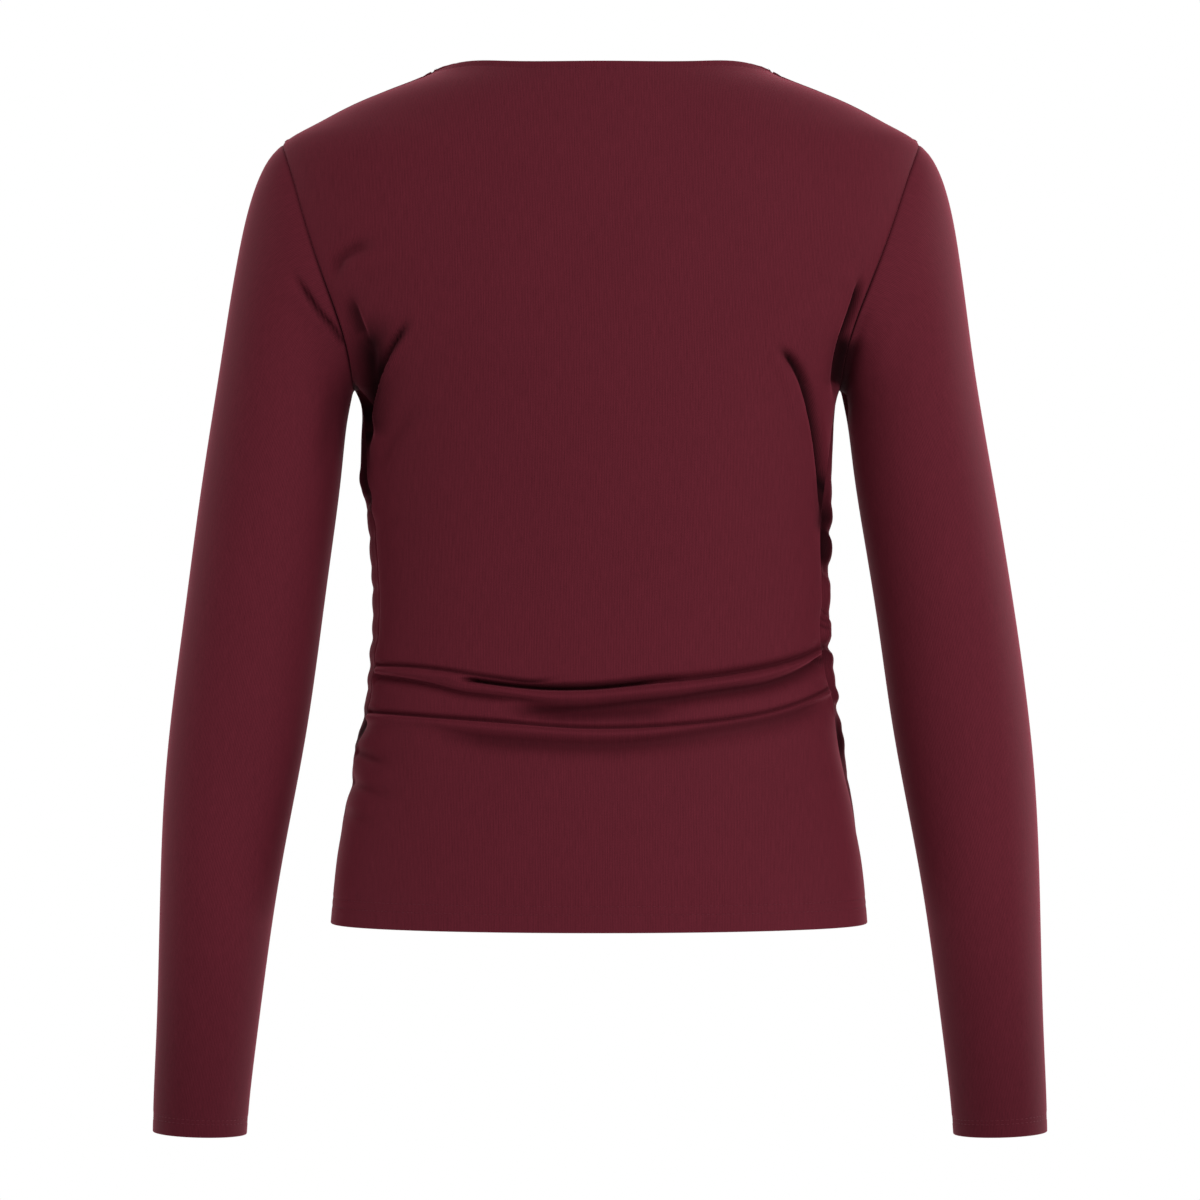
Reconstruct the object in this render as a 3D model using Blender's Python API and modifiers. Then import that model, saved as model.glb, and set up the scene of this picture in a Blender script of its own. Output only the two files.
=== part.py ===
# Crew neck top: a fitted jersey top with long set-in sleeves, its front gathered into both side seams.
# It is modelled filled out and hollow, as it is worn, from the four pieces that are cut and sewn.
#
# The frame: +Z is up, the wearer faces -Y, and +X is the wearer's left.
# The origin lies midway between the two side-neck points, where the shoulder seams meet the neckline.
# All sizes below are in millimetres. Meshes are made in metres.

import bpy
import numpy as np

MM = 0.001
COLLECTION_NAME = "crew_neck_top"

# Cloth
WALL = 1.2
# How far each panel stops short of its side and shoulder seams, and a sleeve short of its armhole.
# With the folds and the wall's thickness, this leaves about 0.3 mm between neighbours.
SEAM_TRIM = 0.4
ARMHOLE_TRIM = 1.0

# Main heights and widths
HEM_HEIGHT = -520.0
UNDERARM_HEIGHT = -194.0
SHOULDER_HEIGHT = -44.5
SHOULDER_HALF_WIDTH = 195.0
NECK_HALF_WIDTH = 104.0
FRONT_NECK_DROP = 75.0

# How finely the cloth is divided
NECK_COLUMNS = 6
SHOULDER_COLUMNS = 4
ARMHOLE_ROWS = 9
SLEEVE_AROUND = 18
# Degrees over which the top row is spread, and how late the columns turn in to the neckline.
TOP_SPREAD = 60.0
TURN_IN_POWER = 3
# Samples along the shoulder seam and along one side of an armhole, and how near its edge a second
# line of samples runs, as a share of the width, to tell how the cloth lies there.
SHOULDER_SAMPLES = 200
ARMHOLE_SAMPLES = 60
BESIDE_ARMHOLE = 0.96


class Table:
    """Rows with named columns. The first column is the place; the others are read smoothly along it."""

    def __init__(self, columns, rows):
        rows = sorted(rows)
        self.columns = {name: np.array(values, float) for name, values in zip(columns, zip(*rows))}
        self.places = self.columns[columns[0]]

    def read(self, column, at):
        return smooth_curve(self.places, self.columns[column], at)


def smooth_curve(places, values, at):
    """A natural cubic spline through values at rising places, read at each point of at."""
    step = np.diff(places)
    slope = np.diff(values) / step
    count = len(places)
    system = np.eye(count)
    right_side = np.zeros(count)
    for i in range(1, count - 1):
        system[i, i - 1:i + 2] = (step[i - 1], 2 * (step[i - 1] + step[i]), step[i])
        right_side[i] = 6 * (slope[i] - slope[i - 1])
    bend = np.linalg.solve(system, right_side)
    at = np.clip(np.asarray(at, float), places[0], places[-1])
    i = np.clip(np.searchsorted(places, at) - 1, 0, count - 2)
    low = (places[i + 1] - at) / step[i]
    high = 1 - low
    curve = ((low ** 3 - low) * bend[i] + (high ** 3 - high) * bend[i + 1]) * step[i] ** 2 / 6
    return low * values[i] + high * values[i + 1] + curve


# Level sections of the filled-out body. Above the underarm half_width is that of the whole form,
# shoulders included, which the armhole then cuts. back and front are its depths at the middle.
# back_power and front_power round the section: 1 is an ellipse, less is squarer.
# seam_turn is how many degrees the side seam lies behind the side.
BODY = Table(
    ("height", "half_width", "back", "front", "back_power", "front_power", "seam_turn"),
    [
        (-520, 164.5, 101, 104, 0.84, 0.88, -3),
        (-483, 160.7, 99, 103, 0.84, 0.88, -2),
        (-434, 151.5, 89, 98, 0.84, 0.88, 1),
        (-400, 145.0, 80, 92, 0.84, 0.88, 7),
        (-370, 140.8, 76, 89, 0.84, 0.88, 12),
        (-335, 138.6, 77, 88, 0.84, 0.88, 14),
        (-298, 139.4, 82, 92, 0.84, 0.88, 14),
        (-262, 141.5, 89, 98, 0.84, 0.88, 13),
        (-225, 144.0, 96, 105, 0.84, 0.88, 8),
        (-194, 149.0, 100, 108, 0.84, 0.88, 0),
        (-180, 156.5, 101, 109, 0.84, 0.88, 0),
        (-154, 175.0, 102, 108, 0.84, 0.88, 0),
        (-126, 193.0, 101, 104, 0.84, 0.88, 0),
        (-94, 204.0, 97, 98, 0.85, 0.88, 0),
        (-66, 203.5, 92, 90, 0.86, 0.88, 0),
        (-44.5, 195.5, 86, 80, 0.88, 0.88, 0),
        (-33, 181.0, 81, 73, 0.90, 0.90, 0),
        (-20, 152.5, 75, 67, 0.92, 0.92, 0),
        (-9, 126.0, 69, 62, 0.95, 0.95, 0),
        (0, 104.0, 64, 58, 1.00, 1.00, 0),
        (4, 98.5, 62, 56, 1.00, 1.00, 0),
        (8, 94.0, 60, 54, 1.00, 1.00, 0),
    ],
)

# The armhole's edge, as the distance from the middle of the body at each height.
ARMHOLE = Table(
    ("height", "back", "front"),
    [
        (-194, 149.0, 149.0),
        (-178, 150.5, 149.5),
        (-154, 156.5, 152.0),
        (-127, 166.5, 161.0),
        (-96, 177.5, 173.0),
        (-62, 188.5, 186.5),
        (-44.5, 195.0, 195.0),
    ],
)

# The back neckline's height along its width: it dips a little at the middle.
BACK_NECKLINE = Table(
    ("from_middle", "height"),
    [(-104, 0.0), (-93, 2.9), (-84, 3.8), (-60, 2.3), (0, 0.8), (60, 2.3), (84, 3.8), (93, 2.9), (104, 0.0)],
)

# Rings of a sleeve, from the armhole to the cuff. outer and inner are its outlines seen from the back.
SLEEVE = Table(
    ("ring", "outer_side", "outer_height", "inner_side", "inner_height", "half_depth", "forward"),
    [
        (0, 195.0, -44.5, 149.0, -194.0, 52.0, 0.0),
        (1, 202.3, -52, 149.8, -195.5, 51.0, 0.0),
        (2, 209.3, -65, 150.4, -197.5, 50.0, 0.0),
        (3, 215.4, -84, 151.0, -200.5, 49.5, 0.2),
        (4, 220.8, -110, 152.3, -207, 49.0, 0.5),
        (5, 226.5, -146, 154.6, -221, 48.5, 1.0),
        (6, 233.0, -190, 157.5, -246, 47.5, 1.5),
        (7, 243.5, -254, 162.0, -278, 46.0, 2.5),
        (8, 253.5, -320, 170.0, -331, 44.0, 4.0),
        (9, 262.5, -385, 179.0, -394, 41.5, 6.0),
        (10, 268.0, -440, 189.0, -449, 39.5, 8.0),
        (11, 270.8, -500, 199.8, -508, 37.0, 10.5),
        (12, 272.8, -570, 209.3, -575, 33.5, 13.5),
        (13, 275.0, -620, 215.5, -624, 31.0, 15.5),
        (14, 276.0, -650, 218.0, -652, 30.0, 16.5),
    ],
)
SLEEVE_RINGS = (0, 0.5, 1, 1.6, 2.3, 3, 3.7, 4.4, 5.1, 6, 7, 8, 9, 10, 11, 12, 13, 14)
CAP_RINGS = 5.0

WAIST_HEIGHT = -375.0

# The two rolls of spare cloth at the small of the back, and the troughs under them.
# left, middle and right are the line's heights; rise is outwards, and fade is how far it falls off.
WAIST_FOLDS = [
    {"left": -362, "middle": -375, "right": -354, "rise": 3.5, "fade": 6},
    {"left": -373, "middle": -388, "right": -365, "rise": -3.0, "fade": 6},
    {"left": -392, "middle": -399, "right": -385, "rise": 3.0, "fade": 6},
    {"left": -402, "middle": -409, "right": -394, "rise": -2.5, "fade": 6},
]

# Gathers of the front, each a ridge that starts at a side seam. seam is its height there, drop is
# how far it falls by the time it has faded out, and reach is that distance round the body.
LEFT_GATHERS = [
    {"seam": -252, "drop": 22, "reach": 70, "rise": 2.5},
    {"seam": -274, "drop": 24, "reach": 90, "rise": 3.5},
    {"seam": -297, "drop": 22, "reach": 110, "rise": 3.0},
    {"seam": -318, "drop": 14, "reach": 95, "rise": 4.0},
    {"seam": -341, "drop": 8, "reach": 120, "rise": 3.5},
    {"seam": -362, "drop": 2, "reach": 100, "rise": 4.0},
    {"seam": -386, "drop": -4, "reach": 110, "rise": 3.5},
    {"seam": -408, "drop": -8, "reach": 85, "rise": 3.5},
    {"seam": -431, "drop": -10, "reach": 65, "rise": 2.5},
]
RIGHT_GATHERS = [
    {"seam": -260, "drop": 20, "reach": 75, "rise": 3.0},
    {"seam": -281, "drop": 24, "reach": 105, "rise": 3.5},
    {"seam": -303, "drop": 18, "reach": 85, "rise": 3.5},
    {"seam": -326, "drop": 14, "reach": 115, "rise": 4.0},
    {"seam": -347, "drop": 6, "reach": 95, "rise": 3.5},
    {"seam": -371, "drop": 0, "reach": 120, "rise": 4.0},
    {"seam": -393, "drop": -5, "reach": 90, "rise": 3.5},
    {"seam": -417, "drop": -9, "reach": 80, "rise": 3.0},
]
GATHER_FADE = 6.0

# Heights of the rows below the underarm, close together where there are folds: (from, to, rows).
LOWER_ROWS = [
    (HEM_HEIGHT, -444, 3),
    (-444, -414, 3),
    (-414, -348, 11),
    (-348, -240, 12),
    (-240, UNDERARM_HEIGHT, 3),
]

COLOUR = (0.098, 0.0135, 0.0235, 1.0)
ROUGHNESS = 0.62


def column_places():
    """Places of a panel's columns: from -1 to 1 below the armholes, and as widths along its upper edge.

    The upper edge is the neckline and the shoulder seams, with a column at each neck corner.
    """
    neck = NECK_HALF_WIDTH * np.sin(np.linspace(0, np.pi / 2, NECK_COLUMNS + 1))
    shoulder = np.linspace(NECK_HALF_WIDTH, SHOULDER_HALF_WIDTH, SHOULDER_COLUMNS + 1)[1:]
    half = np.concatenate([neck, shoulder])
    widths = np.concatenate([-half[:0:-1], half])
    return np.linspace(-1, 1, len(widths)), widths


def section_depth(height, across, is_back):
    """Depth of the form at a height and a distance from its middle."""
    own = "back" if is_back else "front"
    share = np.clip(np.abs(across) / BODY.read("half_width", height), 0, 1)
    depth = BODY.read(own, height) * (1 - share ** 2) ** (BODY.read(own + "_power", height) / 2)
    return np.maximum(depth, SEAM_TRIM)


def top_height(across, is_back):
    """Height of a panel's upper edge: the neckline, and beyond it the shoulder seam."""
    across = np.abs(across)
    ridge_heights = np.linspace(SHOULDER_HEIGHT, 0, SHOULDER_SAMPLES)
    ridge_widths = BODY.read("half_width", ridge_heights)
    shoulder = np.interp(-across, -ridge_widths, ridge_heights)
    if is_back:
        neckline = BACK_NECKLINE.read("height", across)
    else:
        share = np.clip(across / NECK_HALF_WIDTH, 0, 1)
        neckline = -FRONT_NECK_DROP * np.sqrt(1 - share ** 2)
    return np.where(across < NECK_HALF_WIDTH, neckline, shoulder)


def lower_rows(heights, columns, is_back):
    """Level rows from the hem to the underarm, from one side seam round to the other."""
    facing = 1 if is_back else -1
    height = heights[:, None] + 0 * columns[None, :]
    turn = np.radians(BODY.read("seam_turn", height))
    own, other = ("back", "front") if is_back else ("front", "back")
    own_depth, other_depth = BODY.read(own, height), BODY.read(other, height)
    edge = np.pi / 2 - facing * turn - SEAM_TRIM / own_depth
    angle = edge * columns[None, :]
    level = np.cos(angle)
    near = own_depth * np.maximum(level, 0) ** BODY.read(own + "_power", height)
    beyond = other_depth * np.maximum(-level, 0) ** BODY.read(other + "_power", height)
    across = BODY.read("half_width", height) * np.sin(angle)
    return np.stack([across, facing * (near - beyond), height], axis=-1)


def upper_rows(climbs, columns, widths, is_back):
    """Rows from the underarm to the neckline and the shoulder seams, between the two armholes."""
    facing = 1 if is_back else -1
    climb = (1 - np.cos(np.pi * climbs[:, None])) / 2
    spread = np.radians(90 + (TOP_SPREAD - 90) * climb)
    top = top_height(widths, is_back)[None, :]
    height = UNDERARM_HEIGHT + (top - UNDERARM_HEIGHT) * climb
    edge_height = UNDERARM_HEIGHT + (SHOULDER_HEIGHT - UNDERARM_HEIGHT) * climb
    edge = ARMHOLE.read("back" if is_back else "front", edge_height)
    even = np.sin(spread * columns[None, :]) / np.sin(spread)
    gathered = widths[None, :] / SHOULDER_HALF_WIDTH
    turn_in = climbs[:, None] ** TURN_IN_POWER
    across = edge * (even + (gathered - even) * turn_in)
    return np.stack([across, facing * section_depth(height, across, is_back), height], axis=-1)


def spaced_heights(spans):
    """Row heights from (from, to, rows) spans that follow each other."""
    heights = [spans[0][0]]
    for start, end, rows in spans:
        heights += list(np.linspace(start, end, rows + 1)[1:])
    return np.array(heights, float)


def grid_normals(points, wraps):
    """Unit normals of a grid of points; wraps says that its columns close into rings."""
    up = np.gradient(points, axis=0)
    if wraps:
        around = (np.roll(points, -1, axis=1) - np.roll(points, 1, axis=1)) / 2
    else:
        around = np.gradient(points, axis=1)
    normal = np.cross(up, around)
    return normal / np.maximum(np.linalg.norm(normal, axis=-1, keepdims=True), 1e-9)


def waist_fold_rise(points):
    """How far the waist folds lift the back panel at each point."""
    rise = np.zeros(points.shape[:2])
    across = points[..., 0] / BODY.read("half_width", WAIST_HEIGHT)
    for fold in WAIST_FOLDS:
        tilt = (fold["left"] - fold["right"]) / 2
        sag = (fold["left"] + fold["right"]) / 2 - fold["middle"]
        line = fold["middle"] + tilt * across + sag * across ** 2
        rise += fold["rise"] * np.exp(-((points[..., 2] - line) / fold["fade"]) ** 2)
    return rise


def gather_rise(points):
    """How far the gathers lift the front panel at each point."""
    rise = np.zeros(points.shape[:2])
    step = np.linalg.norm(np.diff(points, axis=1), axis=-1)
    start = np.zeros((len(points), 1))
    from_right = np.concatenate([start, np.cumsum(step, axis=1)], axis=1)
    from_left = from_right[:, -1:] - from_right
    for distance, gathers in ((from_left, LEFT_GATHERS), (from_right, RIGHT_GATHERS)):
        for gather in gathers:
            along = np.clip(distance / gather["reach"], 0, 1)
            line = gather["seam"] - gather["drop"] * along
            strength = np.cos(along * np.pi / 2) ** 2
            rise += gather["rise"] * strength * np.exp(-((points[..., 2] - line) / GATHER_FADE) ** 2)
    return rise


def panel_points(is_back):
    """The grid of one body panel, hem to top by right to left, with its folds."""
    columns, widths = column_places()
    heights = spaced_heights(LOWER_ROWS)
    climbs = np.linspace(0, 1, ARMHOLE_ROWS + 1)[1:]
    below = lower_rows(heights, columns, is_back)
    above = upper_rows(climbs, columns, widths, is_back)
    flat = np.concatenate([below, above])
    outward = grid_normals(flat, wraps=False) * (1 if is_back else -1)
    rise = waist_fold_rise(flat) if is_back else gather_rise(flat)
    return flat + outward * rise[..., None]


def armhole_loop(count):
    """The left armhole as a ring: from the shoulder point down the back, under the arm and up the front."""
    climbs = np.linspace(1, 0, ARMHOLE_SAMPLES)
    places = np.array([BESIDE_ARMHOLE, 1.0])
    ring = []
    for is_back in (True, False):
        rows = upper_rows(climbs, places, places * SHOULDER_HALF_WIDTH, is_back)
        edge = rows[:, 1]
        along = np.gradient(edge, axis=0)
        across_edge = edge - rows[:, 0]
        upwards = -np.gradient(rows[:, 0], axis=0)
        surface = np.cross(across_edge, upwards)
        outward = np.cross(surface, along)
        outward /= np.linalg.norm(outward, axis=-1, keepdims=True)
        edge = edge + outward * ARMHOLE_TRIM
        edge = edge if is_back else edge[::-1]
        travelled = np.concatenate([[0], np.cumsum(np.linalg.norm(np.diff(edge, axis=0), axis=-1))])
        even = np.linspace(0, travelled[-1], count // 2 + 1)[:-1]
        ring.append(np.stack([np.interp(even, travelled, edge[:, axis]) for axis in range(3)], axis=-1))
    ring = np.concatenate(ring)
    ring[[0, count // 2], 1] = 0
    return ring


def sleeve_points(rings, count):
    """The left sleeve as rings that turn from the armhole's own shape into ellipses."""
    loop = armhole_loop(count)
    angle = np.arange(count) * 2 * np.pi / count

    def frame(ring):
        outer = np.array([SLEEVE.read("outer_side", ring), 0, SLEEVE.read("outer_height", ring)])
        inner = np.array([SLEEVE.read("inner_side", ring), 0, SLEEVE.read("inner_height", ring)])
        reach = (outer - inner) / 2
        length = np.linalg.norm(reach)
        return (outer + inner) / 2, reach / length, length, np.cross(reach / length, (0, 1, 0))

    centre, toward, length, past = frame(0.0)
    loop_along = (loop - centre) @ toward / length
    loop_past = (loop - centre) @ past
    points = []
    for ring in rings:
        centre, toward, length, past = frame(float(ring))
        share = min(ring / CAP_RINGS, 1.0)
        share = share * share * (3 - 2 * share)
        along = (1 - share) * loop_along + share * np.cos(angle)
        deep = (1 - share) * loop[:, 1] + share * SLEEVE.read("half_depth", ring) * np.sin(angle)
        deep = deep - SLEEVE.read("forward", ring)
        spot = centre + np.outer(along * length, toward) + np.outer((1 - share) * loop_past, past)
        spot[:, 1] = deep
        points.append(spot)
    return np.array(points)


def cloth_material(name):
    material = bpy.data.materials.new(name)
    material.use_nodes = True
    shader = material.node_tree.nodes["Principled BSDF"]
    shader.inputs["Base Color"].default_value = COLOUR
    shader.inputs["Roughness"].default_value = ROUGHNESS
    shader.inputs["Metallic"].default_value = 0.0
    return material


def cloth_piece(name, points, wraps, turned, collection):
    """One cut piece: an open surface through the grid, given its wall inwards by Solidify."""
    rows, columns = points.shape[:2]
    faces = []
    for row in range(rows - 1):
        for column in range(columns if wraps else columns - 1):
            beside = (column + 1) % columns
            corners = [
                row * columns + column,
                (row + 1) * columns + column,
                (row + 1) * columns + beside,
                row * columns + beside,
            ]
            faces.append(corners[::-1] if turned else corners)
    mesh = bpy.data.meshes.new(name)
    mesh.from_pydata((points.reshape(-1, 3) * MM).tolist(), [], faces)
    mesh.shade_smooth()
    mesh.materials.append(cloth_material(name))
    piece = bpy.data.objects.new(name, mesh)
    collection.objects.link(piece)
    wall = piece.modifiers.new("Wall", "SOLIDIFY")
    wall.thickness = WALL * MM
    wall.offset = -1
    wall.use_even_offset = False
    wall.use_rim = True
    return piece


def build():
    for old in list(bpy.data.objects):
        bpy.data.objects.remove(old, do_unlink=True)
    collection = bpy.data.collections.new(COLLECTION_NAME)
    bpy.context.scene.collection.children.link(collection)
    cloth_piece("back_panel", panel_points(True), False, False, collection)
    cloth_piece("front_panel", panel_points(False), False, True, collection)
    sleeve = sleeve_points(SLEEVE_RINGS, SLEEVE_AROUND)
    cloth_piece("sleeve_left", sleeve, True, False, collection)
    cloth_piece("sleeve_right", sleeve * (-1, 1, 1), True, True, collection)


build()
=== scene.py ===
# Crew neck top: looks for the imported part.
# The cloth of each piece is a thin shell on its solid's form, with its folds given one by one, its edges
# turned and stitched, and a smooth burgundy jersey on it.
#
# Sizes are in millimetres, and meshes are made in metres. +Z is up, the wearer faces -Y, +X is their left.

import bpy
import numpy as np
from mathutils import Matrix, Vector


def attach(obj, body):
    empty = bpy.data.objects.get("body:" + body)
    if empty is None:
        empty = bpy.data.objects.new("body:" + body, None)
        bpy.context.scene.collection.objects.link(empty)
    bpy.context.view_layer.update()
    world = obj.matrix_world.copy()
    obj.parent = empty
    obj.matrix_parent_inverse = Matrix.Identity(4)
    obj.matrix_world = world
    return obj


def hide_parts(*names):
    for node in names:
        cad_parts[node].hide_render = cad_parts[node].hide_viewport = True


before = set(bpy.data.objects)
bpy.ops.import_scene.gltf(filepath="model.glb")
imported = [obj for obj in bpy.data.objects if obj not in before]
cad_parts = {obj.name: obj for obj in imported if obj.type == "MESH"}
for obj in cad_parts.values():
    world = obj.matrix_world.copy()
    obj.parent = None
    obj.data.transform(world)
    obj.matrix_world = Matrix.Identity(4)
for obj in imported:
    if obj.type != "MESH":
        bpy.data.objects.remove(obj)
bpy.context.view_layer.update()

MM = 0.001

# Cloth, as in the part

CLOTH_THICKNESS = 0.75
# How far each edge stops short of its seam: the two edges then lie side by side.
SEAM_TRIM = 0.06
ARMHOLE_TRIM = 0.08

HEM_HEIGHT = -520.0
UNDERARM_HEIGHT = -194.0
SHOULDER_HEIGHT = -44.5
SHOULDER_HALF_WIDTH = 195.0
NECK_HALF_WIDTH = 104.0
FRONT_NECK_DROP = 75.0
TOP_SPREAD = 60.0
TURN_IN_POWER = 3
SHOULDER_SAMPLES = 200
ARMHOLE_SAMPLES = 400
BESIDE_ARMHOLE = 0.985
# Shares of the armhole's height over which both panels come to one normal, at its foot and at its top.
SHARED_NORMALS = (0.12, 0.05)
# Folds die away over this distance from a seam.
FOLDS_START = 3.0
# How deep the seam allowances go inwards from a seam, in steps.
ALLOWANCE_DEPTHS = np.array((0.5, 1.3, 2.8, 4.6))
# How much shade is painted on the cloth inside a seam, and beside an armhole seam at and between two
# heights.
SEAM_ALLOWANCE_SHADE = 0.9
ARMHOLE_SEAM_SHADE = (0.45, 1.0)
ARMHOLE_SEAM_SHADE_GROWS = (-90.0, -160.0)
ARMHOLE_SEAM_SHADE_HALF_WIDTH = 1.0
# The sleeves have a little painted shade that grows towards their cuffs.
CUFF_PAINTED_SHADE = 0.28
CUFF_PAINTED_SHADE_REACH = 190.0


class Table:
    """Rows with named columns. The first column is the place; the others are read smoothly along it."""

    def __init__(self, columns, rows):
        rows = sorted(rows)
        self.columns = {name: np.array(values, float) for name, values in zip(columns, zip(*rows))}
        self.places = self.columns[columns[0]]

    def read(self, column, at):
        return smooth_curve(self.places, self.columns[column], at)


def smooth_curve(places, values, at):
    """A natural cubic spline through values at rising places, read at each point of at."""
    step = np.diff(places)
    slope = np.diff(values) / step
    count = len(places)
    system = np.eye(count)
    right_side = np.zeros(count)
    for i in range(1, count - 1):
        system[i, i - 1:i + 2] = (step[i - 1], 2 * (step[i - 1] + step[i]), step[i])
        right_side[i] = 6 * (slope[i] - slope[i - 1])
    bend = np.linalg.solve(system, right_side)
    at = np.clip(np.asarray(at, float), places[0], places[-1])
    i = np.clip(np.searchsorted(places, at) - 1, 0, count - 2)
    low = (places[i + 1] - at) / step[i]
    high = 1 - low
    curve = ((low ** 3 - low) * bend[i] + (high ** 3 - high) * bend[i + 1]) * step[i] ** 2 / 6
    return low * values[i] + high * values[i + 1] + curve


def ease(share):
    """0 to 1 with a soft start and end."""
    share = np.clip(share, 0, 1)
    return share * share * (3 - 2 * share)


def between(pair, share):
    """The value that lies that share of the way from the first of a pair to the second."""
    return pair[0] + (pair[1] - pair[0]) * share


def unit(vectors):
    return vectors / np.maximum(np.linalg.norm(vectors, axis=-1, keepdims=True), 1e-9)


def lengths_along(line):
    """How far along a line of points each of them is."""
    return np.concatenate([[0], np.cumsum(np.linalg.norm(np.diff(line, axis=0), axis=-1))])


def points_at(distances, travelled, line):
    """Points of a line at distances along it; travelled holds its own points' distances."""
    return np.stack([np.interp(distances, travelled, line[:, axis]) for axis in range(3)], axis=-1)


# Level sections of the filled-out body. back and front are its depths at the middle, back_power and
# front_power round the section, and seam_turn is how many degrees the side seam lies behind the side.
BODY = Table(
    ("height", "half_width", "back", "front", "back_power", "front_power", "seam_turn"),
    [
        (-520, 164.5, 101, 104, 0.84, 0.88, -3),
        (-483, 160.7, 99, 103, 0.84, 0.88, -2),
        (-434, 151.5, 89, 98, 0.84, 0.88, 1),
        (-400, 145.0, 80, 92, 0.84, 0.88, 7),
        (-370, 140.8, 76, 89, 0.84, 0.88, 12),
        (-335, 138.6, 77, 88, 0.84, 0.88, 14),
        (-298, 139.4, 82, 92, 0.84, 0.88, 14),
        (-262, 141.5, 89, 98, 0.84, 0.88, 13),
        (-225, 144.0, 96, 105, 0.84, 0.88, 8),
        (-194, 149.0, 100, 108, 0.84, 0.88, 0),
        (-180, 156.5, 101, 109, 0.84, 0.88, 0),
        (-154, 175.0, 102, 108, 0.84, 0.88, 0),
        (-126, 193.0, 101, 104, 0.84, 0.88, 0),
        (-94, 204.0, 97, 98, 0.85, 0.88, 0),
        (-66, 203.5, 92, 90, 0.86, 0.88, 0),
        (-44.5, 195.5, 86, 80, 0.88, 0.88, 0),
        (-40, 190.4, 84, 77, 0.89, 0.89, 0),
        (-33, 177.6, 81, 73, 0.90, 0.90, 0),
        (-20, 152.5, 75, 67, 0.92, 0.92, 0),
        (-9, 126.0, 69, 62, 0.95, 0.95, 0),
        (0, 104.0, 64, 58, 1.00, 1.00, 0),
        (4, 98.5, 62, 56, 1.00, 1.00, 0),
        (8, 94.0, 60, 54, 1.00, 1.00, 0),
    ],
)

ARMHOLE = Table(
    ("height", "back", "front"),
    [
        (-194, 149.0, 149.0),
        (-178, 150.5, 149.5),
        (-154, 156.5, 152.0),
        (-127, 166.5, 161.0),
        (-96, 177.5, 173.0),
        (-62, 188.5, 186.5),
        (-44.5, 195.0, 195.0),
    ],
)

BACK_NECKLINE = Table(
    ("from_middle", "height"),
    [(-104, 0), (-93, 2.9), (-84, 3.8), (-60, 2.3), (0, 0.8), (60, 2.3), (84, 3.8), (93, 2.9), (104, 0)],
)

SLEEVE = Table(
    ("ring", "outer_side", "outer_height", "inner_side", "inner_height", "half_depth", "forward"),
    [
        (0, 195.0, -44.5, 149.0, -194.0, 52.0, 0.0),
        (1, 202.3, -52, 149.8, -195.5, 51.0, 0.0),
        (2, 209.3, -65, 150.4, -197.5, 50.0, 0.0),
        (3, 215.4, -84, 151.0, -200.5, 49.5, 0.2),
        (4, 220.8, -110, 152.3, -207, 49.0, 0.5),
        (5, 226.5, -146, 154.6, -221, 48.5, 1.0),
        (6, 233.0, -190, 157.5, -246, 47.5, 1.5),
        (7, 243.5, -254, 162.0, -278, 46.0, 2.5),
        (8, 253.5, -320, 170.0, -331, 44.0, 4.0),
        (9, 262.5, -385, 179.0, -394, 41.5, 6.0),
        (10, 268.0, -440, 189.0, -449, 39.5, 8.0),
        (11, 270.8, -500, 199.8, -508, 37.0, 10.5),
        (12, 272.8, -570, 209.3, -575, 33.5, 13.5),
        (13, 275.0, -620, 215.5, -624, 31.0, 15.5),
        (14, 276.0, -650, 218.0, -652, 30.0, 16.5),
    ],
)
CAP_RINGS = 5.0
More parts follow.
